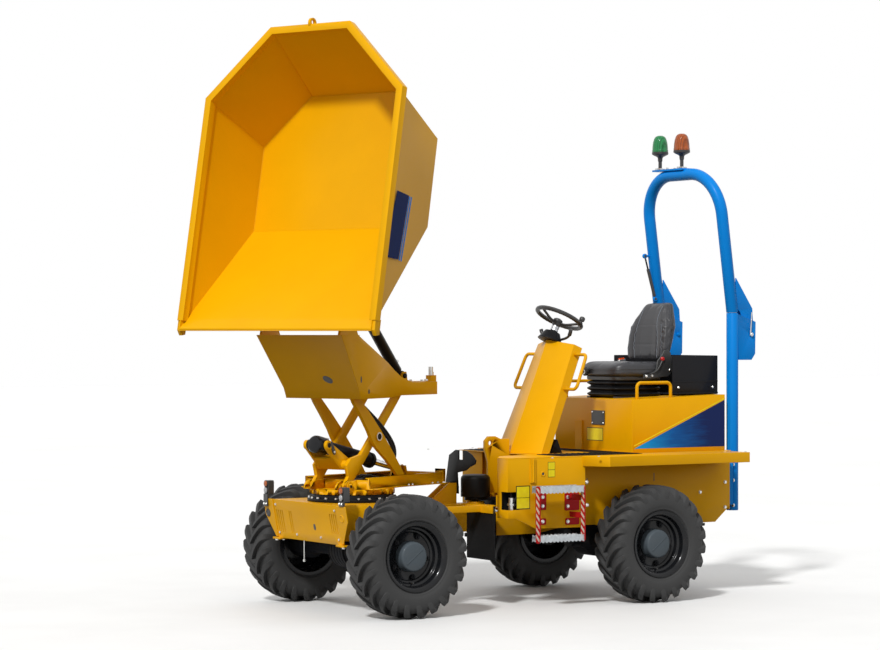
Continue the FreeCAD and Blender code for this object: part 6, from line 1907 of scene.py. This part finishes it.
    def base(self) -> None:
        """The bellows round the sprung base and the pan under the cushion."""
        forge = Forge(GROUND)
        rows = []
        steps = 46
        for k in range(steps + 1):
            z = 1.3165 + (1.428 - 1.3165) * k / steps
            fold = 0.5 - 0.5 * math.cos(2 * math.pi * (z - 1.3165) / 0.0375)
            reach = 0.182 + 0.022 * fold ** 0.7
            wide = 0.164 + 0.02 * fold ** 0.7
            rows.append([Vector((-1.2 + x, y, z)) for x, y in rounded(reach, wide, 7.0, 64)])
        forge.loft(rows)
        made = forge.done("seat_bellows", BELLOWS, self.body, levels=1)
        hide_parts("seat_suspension")
        pan = Forge(GROUND)
        rows = []
        for z, draw in ((1.4285, 0.965), (1.4305, 0.985), (1.44, 1.0), (1.452, 1.0), (1.4545, 0.99)):
            rows.append([Vector((-1.2 + x, y, z)) for x, y in rounded(0.2 * draw, 0.19 * draw, 7.0, 48)])
        pan.loft(rows)
        pan.done("seat_pan", PLASTIC, self.body)
        plinth = Forge(GROUND)
        for y in (-0.15, 0.15):
            plinth.box((-1.385, y - 0.02, 1.3085), (-1.015, y + 0.02, 1.32), None)
        plinth.done("seat_runners", PLASTIC, self.body, bevel=0.002)

    def hardware(self) -> None:
        """Weight knob, recline bracket with its red button and lever, and belt buckle."""
        knob = Forge(GROUND)
        at = facing((-0.972, -0.11, 1.487), (1.0, 0.05, -0.1))
        knob.lathe([(0.0, 0.026), (0.02, 0.026), (0.026, 0.022), (0.028, 0.012), (0.026, 0.0)], at, 28)
        for k in range(10):
            turn = at @ Matrix.Rotation(2 * math.pi * k / 10, 4, "Z")
            knob.box((0.0255, -0.003, 0.004), (0.03, 0.003, 0.022), turn)
        knob.done("weight_knob", PLASTIC, self.body, bevel=0.001)
        ring = Forge(GROUND)
        ring.lathe([(0.01, 0.0262), (0.015, 0.0262), (0.015, 0.0272), (0.01, 0.0272)], at, 28, True)
        ring.done("weight_knob_ring", ZINC, self.body)
        bracket = Forge(GROUND)
        side = facing((0.0, 0.225, 0.0), LEFT)
        outline = [(1.25, 1.452), (1.3, 1.446), (1.395, 1.452), (1.432, 1.484), (1.426, 1.54), (1.42, 1.61),
                   (1.4, 1.634), (1.366, 1.63), (1.348, 1.6), (1.31, 1.56), (1.296, 1.5)]
        bracket.plate(outline, 0.012, side)
        bracket.plate([(1.19, 1.44), (1.33, 1.44), (1.33, 1.474), (1.196, 1.468)], 0.008, side)
        bracket.done("recline_bracket", PLASTIC, self.body, bevel=0.003)
        red = Forge(GROUND)
        red.lathe([(0.0, 0.014), (0.01, 0.014), (0.013, 0.011), (0.013, 0.0)],
                  side @ Matrix.Translation((1.345, 1.572, 0.012)), 24)
        red.done("recline_button", RED_PLASTIC, self.body)
        lever = Forge(GROUND)
        lever.tube([(-1.345, 0.24, 1.56), (-1.32, 0.243, 1.52), (-1.29, 0.243, 1.488), (-1.24, 0.243, 1.47)],
                   0.006)
        lever.done("recline_lever", PLASTIC, self.body)
        bolts = Forge(GROUND)
        for x, z in ((-1.409, 1.496), (-1.216, 1.457), (-1.262, 1.459)):
            bolts.bolt((x, 0.237 if z > 1.48 else 0.233, z), LEFT, 0.015, 0.006)
        bolts.done("recline_bolts", ZINC, self.body)
        buckle = Forge(GROUND)
        stem = facing((-1.372, -0.236, 1.47), (0.1, -0.1, 1.0), LEFT)
        buckle.plate([(-0.014, -0.006), (0.014, -0.006), (0.014, 0.006), (-0.014, 0.006)], 0.05, stem)
        buckle.done("belt_stem", PLASTIC, self.body, bevel=0.002)
        head = Forge(GROUND)
        head.plate([(-0.026, -0.012), (0.026, -0.012), (0.026, 0.012), (-0.026, 0.012)], 0.048, stem, 0.046)
        head.done("belt_buckle", ZINC, self.body, bevel=0.004)
        press = Forge(GROUND)
        press.plate([(-0.02, -0.009), (0.02, -0.009), (0.02, 0.009), (-0.02, 0.009)], 0.012, stem, 0.092)
        press.done("belt_button", ORANGE_PLASTIC, self.body, bevel=0.003)


@dataclass
class Controls:
    """Steering wheel, its boot and levers, in the driver's reach."""

    hub: Point = (-0.668, 0.0, 1.845)
    tilt: float = math.radians(27.0)
    ring_r: float = 0.155
    tube_r: float = 0.015

    def wheel_frame(self) -> Matrix:
        """The steering wheel's own frame."""
        return GROUND @ Matrix.Translation(self.hub) @ Matrix.Rotation(-self.tilt, 4, "Y")

    def build(self) -> None:
        """Builds the wheel in place of its plain solid, and dresses the column."""
        base = self.wheel_frame()
        forge = Forge(base)
        turn = [2 * math.pi * k / 72 for k in range(72)]
        rows = []
        for a in turn:
            row = []
            for k in range(12):
                b = 2 * math.pi * k / 12
                grip = self.tube_r - 0.0012 * max(0.0, math.cos(a * 36)) * max(0.0, -math.sin(b))
                radius = self.ring_r + grip * math.cos(b)
                row.append(Vector((radius * math.cos(a), radius * math.sin(a), grip * math.sin(b))))
            rows.append(row)
        forge.grid(rows + [rows[0]], wrap=True)
        for angle in (0.0, 125.0, 235.0):
            a = math.radians(angle)
            out = Vector((math.cos(a), math.sin(a), 0.0))
            forge.tube([out * 0.02 + Vector((0, 0, -0.036)), out * 0.06 + Vector((0, 0, -0.034)),
                        out * 0.11 + Vector((0, 0, -0.016)), out * (self.ring_r - 0.004)], 0.0085, 12)
        forge.lathe([(0.0, -0.008), (0.02, -0.008), (0.03, -0.014), (0.033, -0.024), (0.03, -0.052),
                     (0.024, -0.061),
                     (0.0, -0.061)], steps=36)
        forge.lathe([(0.0, -0.005), (0.012, -0.005), (0.018, -0.0075), (0.018, -0.012)], steps=28)
        a = math.radians(126.0)
        spot = Vector((self.ring_r * math.cos(a), self.ring_r * math.sin(a), 0.0))
        forge.lathe([(0.012, -0.014), (0.015, -0.006), (0.015, 0.01), (0.009, 0.015), (0.009, 0.02),
                     (0.016, 0.023),
                     (0.019, 0.03), (0.0192, 0.042), (0.016, 0.05), (0.009, 0.0535), (0.0, 0.054)],
                    Matrix.Translation(spot), 28)
        made = forge.done("steering_wheel_rim", PLASTIC, "hand_wheel")
        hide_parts("steering_wheel")
        self.boot(base)
        self.levers(base)

    def boot(self, base: Matrix) -> None:
        """A bright collar under the wheel's hub, over the black boot's own folds."""
        forge = Forge(base)
        profile = [(0.0242, -0.0625), (0.0262, -0.064), (0.0262, -0.078), (0.0246, -0.08), (0.0246, -0.086),
                   (0.0262, -0.088), (0.0262, -0.096), (0.0242, -0.0975)]
        forge.lathe(profile, steps=40)
        forge.done("column_collar", BRUSHED, "rear_body")

    def levers(self, base: Matrix) -> None:
        """A curved stalk on each side of the column, with a thicker grip."""
        rods = Forge(GROUND)
        for side in (-1, 1):
            line = [(-0.652, side * 0.04, 1.7), (-0.65, side * 0.105, 1.712), (-0.645, side * 0.15, 1.732),
                    (-0.64, side * 0.172, 1.77)]
            rods.tube(line, 0.0085, 12)
            rods.tube([line[2], (-0.642, side * 0.166, 1.752), line[3]], 0.013, 14)
        rods.done("column_stalks", PLASTIC, "rear_body")


@dataclass
class RollBar:
    """Beacons, gas strut and fasteners of the folding roll bar."""

    top_x: float = -1.6855
    beacon_foot: float = 2.8725
    body: str = "roll_bar"

    def build(self) -> None:
        """Builds and dresses what the hoop carries."""
        self.beacons()
        self.plate_bolts()
        self.strut()

    def beacons(self) -> None:
        """A green and an amber beacon, each a fluted dome on a black base and stem."""
        base = Forge(GROUND)
        green = Forge(GROUND)
        amber = Forge(GROUND)
        for y, dome in ((-0.232, green), (0.012, amber)):
            at = Matrix.Translation((self.top_x, y, self.beacon_foot))
            base.lathe([(0.0, 0.0), (0.0125, 0.0), (0.0125, 0.058), (0.0155, 0.062), (0.017, 0.084),
                        (0.024, 0.092),
                        (0.038, 0.098), (0.0545, 0.107), (0.057, 0.111), (0.057, 0.123), (0.0545, 0.125),
                        (0.0, 0.125)], at, 40)
            dome.lathe([(0.055, 0.1245), (0.056, 0.13), (0.056, 0.136), (0.0545, 0.139), (0.053, 0.165),
                        (0.049, 0.194), (0.042, 0.217), (0.0325, 0.231), (0.018, 0.238), (0.0,
                                                                                          0.2395)], at, 48)
        made = base.done("beacon_bases", PLASTIC, self.body)
        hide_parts("beacons")
        green.done("beacon_green_dome", GREEN_DOME, self.body)
        amber.done("beacon_amber_dome", AMBER_DOME, self.body)
        lamps = Forge(GROUND)
        for y in (-0.232, 0.012):
            at = Matrix.Translation((self.top_x, y, self.beacon_foot))
            lamps.lathe([(0.0, 0.1262), (0.016, 0.1262), (0.016, 0.15), (0.01, 0.176), (0.0, 0.182)], at, 20)
        lamps.done("beacon_lamps", ZINC, self.body)

    def plate_bolts(self) -> None:
        """Nuts and bolts of the beacon plate."""
        forge = Forge(GROUND)
        for y in (-0.232, -0.11, 0.012):
            for side in (-1, 1):
                forge.bolt((self.top_x + side * 0.032, y, 2.8722), UP, 0.016, 0.01)
            at = Matrix.Translation((self.top_x, y, self.beacon_foot)) if y != -0.11 else None
            if at is not None:
                forge.lathe([(0.013, 0.0), (0.019, 0.0), (0.019, 0.013), (0.013, 0.013)], at, 6, True)
        forge.done("beacon_plate_bolts", ZINC, self.body)

    def strut(self) -> None:
        """The far post's gas strut with its dark rod and ball ends."""
        body = Forge(GROUND)
        low, high = Vector((-1.7526, -0.38, 1.982)), Vector((-1.681, -0.404, 2.281))
        run = (high - low).normalized()
        body.bar(low + run * 0.02, low + run * 0.215, 0.011, 20)
        for end in (low, high):
            body.lathe([(0.0, -0.012), (0.009, -0.01), (0.013, 0.0), (0.009, 0.01), (0.0, 0.012)],
                       facing(end, LEFT), 20)
        body.done("stay_strut", PLASTIC, self.body)
        rod = Forge(GROUND)
        rod.bar(low + run * 0.195, high - run * 0.01, 0.006, 14)
        rod.bar(low, low + run * 0.024, 0.006, 14)
        rod.done("stay_strut_rod", BLACK, self.body)
        lugs = Forge(GROUND)
        for end, back in ((low, Vector((-1.78, -0.396, 1.982))), (high, Vector((-1.726, -0.404, 2.281)))):
            lugs.bar(back, end, 0.0085, 16)
            lugs.lathe([(0.0, -0.0085), (0.015, -0.0085), (0.0165, -0.007), (0.0165, 0.007), (0.015, 0.0085),
                        (0.0, 0.0085)], facing(end, LEFT), 28)
        lugs.done("stay_lugs", BLUE, self.body)


@dataclass
class Tray:
    """Fold, fasteners and lip of the dark tray behind the seat."""

    half: float = 0.33
    body: str = "rear_body"

    def build(self) -> None:
        """Builds the tray's folded band, its rolled top edge and bolts."""
        band = Forge(GROUND)
        for side in (-1, 1):
            y = side * (self.half + 0.0004)
            at = facing((0.0, y, 0.0), outward(side))
            low, high = sorted((1.365 * side, 1.743 * side))
            band.box((low, 1.338, 0.0), (high, 1.346, 0.006), at)
            band.box((low, 1.416, 0.0), (high, 1.423, 0.0035), at)
        edge = [(-1.362, self.half - 0.002, 1.5905), (-1.742, self.half - 0.002, 1.5905),
                (-1.742, 0.002 - self.half, 1.5905), (-1.362, 0.002 - self.half, 1.5905)]
        for start, end in zip(edge, edge[1:]):
            band.bar(start, end, 0.0028, 10)
        band.done("tray_folds", TRAY_GREY, self.body, bevel=0.0012)
        bolts = Forge(GROUND)
        for side in (-1, 1):
            for x, z in ((-1.7, 1.38), (-1.41, 1.38)):
                bolts.bolt((x, side * self.half, z), outward(side), 0.014, 0.006)
        bolts.done("tray_bolts", ZINC, self.body)


@dataclass
class Studio:
    """Pale floor, pale surroundings, a soft key light and the photograph's camera."""

    eye: Point = (9.71376, 14.7899, 1.77459)
    yaw: float = math.radians(-122.5502)
    pitch: float = math.radians(0.0776)
    roll: float = math.radians(-0.0151)
    focal_px: float = 2712.06
    width_px: float = 880.0
    ambient: float = 0.29
    key: float = 2.5
    key_side: float = math.radians(36.0)
    key_height: float = math.radians(42.0)

    def build(self) -> None:
        """Makes the camera, the lights and the floor."""
        self.camera()
        self.surroundings()
        self.lights()
        self.floor()

    def axes(self) -> tuple[Vector, Vector, Vector]:
        """The camera's right, up and forward directions."""
        ahead = Vector((math.cos(self.pitch) * math.cos(self.yaw), math.cos(self.pitch) * math.sin(self.yaw),
                        math.sin(self.pitch)))
        right = ahead.cross(Vector(UP)).normalized()
        above = right.cross(ahead)
        return (right * math.cos(self.roll) + above * math.sin(self.roll),
                above * math.cos(self.roll) - right * math.sin(self.roll), ahead)

    def camera(self) -> None:
        """Places the camera and makes it the scene's."""
        right, above, ahead = self.axes()
        data = bpy.data.cameras.new("camera")
        data.sensor_width = 36.0
        data.lens = self.focal_px * 36.0 / self.width_px
        data.clip_end = 200.0
        made = bpy.data.objects.new("camera", data)
        turn = Matrix((right, above, -ahead)).transposed().to_4x4()
        made.matrix_world = Matrix.Translation(ground(*self.eye)) @ turn
        bpy.context.scene.collection.objects.link(made)
        bpy.context.scene.camera = made

    def surroundings(self) -> None:
        """A world that is white where it is seen and softer where it lights."""
        world = bpy.data.worlds.new("studio")
        world.use_nodes = True
        bpy.context.scene.world = world
        tree = world.node_tree
        tree.nodes.clear()
        paths = tree.nodes.new("ShaderNodeLightPath")
        seen = None
        for kind in ("Is Camera Ray", "Is Glossy Ray", "Is Transmission Ray"):
            joined = tree.nodes.new("ShaderNodeMath")
            joined.operation = "MAXIMUM"
            tree.links.new(paths.outputs[kind], joined.inputs[0])
            if seen is not None:
                tree.links.new(seen.outputs[0], joined.inputs[1])
            seen = joined
        soft = tree.nodes.new("ShaderNodeBackground")
        soft.inputs["Color"].default_value = (1.0, 1.0, 1.0, 1.0)
        soft.inputs["Strength"].default_value = self.ambient
        white = tree.nodes.new("ShaderNodeBackground")
        white.inputs["Color"].default_value = (1.0, 1.0, 1.0, 1.0)
        white.inputs["Strength"].default_value = 1.0
        blend = tree.nodes.new("ShaderNodeMixShader")
        tree.links.new(seen.outputs[0], blend.inputs[0])
        tree.links.new(soft.outputs[0], blend.inputs[1])
        tree.links.new(white.outputs[0], blend.inputs[2])
        end = tree.nodes.new("ShaderNodeOutputWorld")
        tree.links.new(blend.outputs[0], end.inputs[0])

    def _lamp(self, name: str, kind: str, at: Vector, towards: Vector, energy: float) -> bpy.types.Light:
        """One lamp that looks from a place towards another."""
        data = bpy.data.lights.new(name, kind)
        data.energy = energy
        made = bpy.data.objects.new(name, data)
        made.matrix_world = Matrix.Translation(at) @ (towards - at).to_track_quat("-Z",
                                                                                  "Y").to_matrix().to_4x4()
        bpy.context.scene.collection.objects.link(made)
        return data

    def lights(self) -> None:
        """A soft key from high on the camera's left."""
        middle = ground(0.0, 0.0, 1.0)
        towards = Vector((math.cos(self.key_height) * math.cos(self.key_side),
                          math.cos(self.key_height) * math.sin(self.key_side), math.sin(self.key_height)))
        key = self._lamp("key", "SUN", middle + towards * 10.0, middle, self.key)
        key.angle = math.radians(6.0)

    def floor(self) -> None:
        """A wide pale floor at the wheels' foot."""
        floor = Forge(GROUND)
        floor.box((-60.0, -60.0, -0.05), (60.0, 60.0, 0.0))
        mesh = bpy.data.meshes.new("studio_floor")
        floor.mesh.to_mesh(mesh)
        floor.mesh.free()
        made = bpy.data.objects.new("studio_floor", mesh)
        bpy.context.scene.collection.objects.link(made)
        mesh.materials.append(FLOOR.material())


def main() -> None:
    """Builds the sub-assemblies in order."""
    logging.basicConfig(level=logging.INFO, format="%(name)s: %(message)s")
    bpy.context.scene.view_settings.view_transform = "Standard"
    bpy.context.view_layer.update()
    studio = Studio()
    studio.build()
    eye = Eye(studio)
    CadDressing().dress()
    for place, x, side in (("front_left", FRONT_AXLE_X, 1), ("front_right", FRONT_AXLE_X, -1),
                           ("rear_left", -FRONT_AXLE_X, 1), ("rear_right", -FRONT_AXLE_X, -1)):
        wheel = Wheel(place, x, side)
        wheel.tyre()
        wheel.rim()
    FrontEnd().build()
    Scissor().build()
    TopFrame().build()
    RamTrim().build()
    SkipTrim().build()
    RearBody(eye).build()
    Step().build()
    Seat(Padding()).build()
    Controls().build()
    RollBar().build()
    Tray().build()


if __name__ == "__main__":
    main()
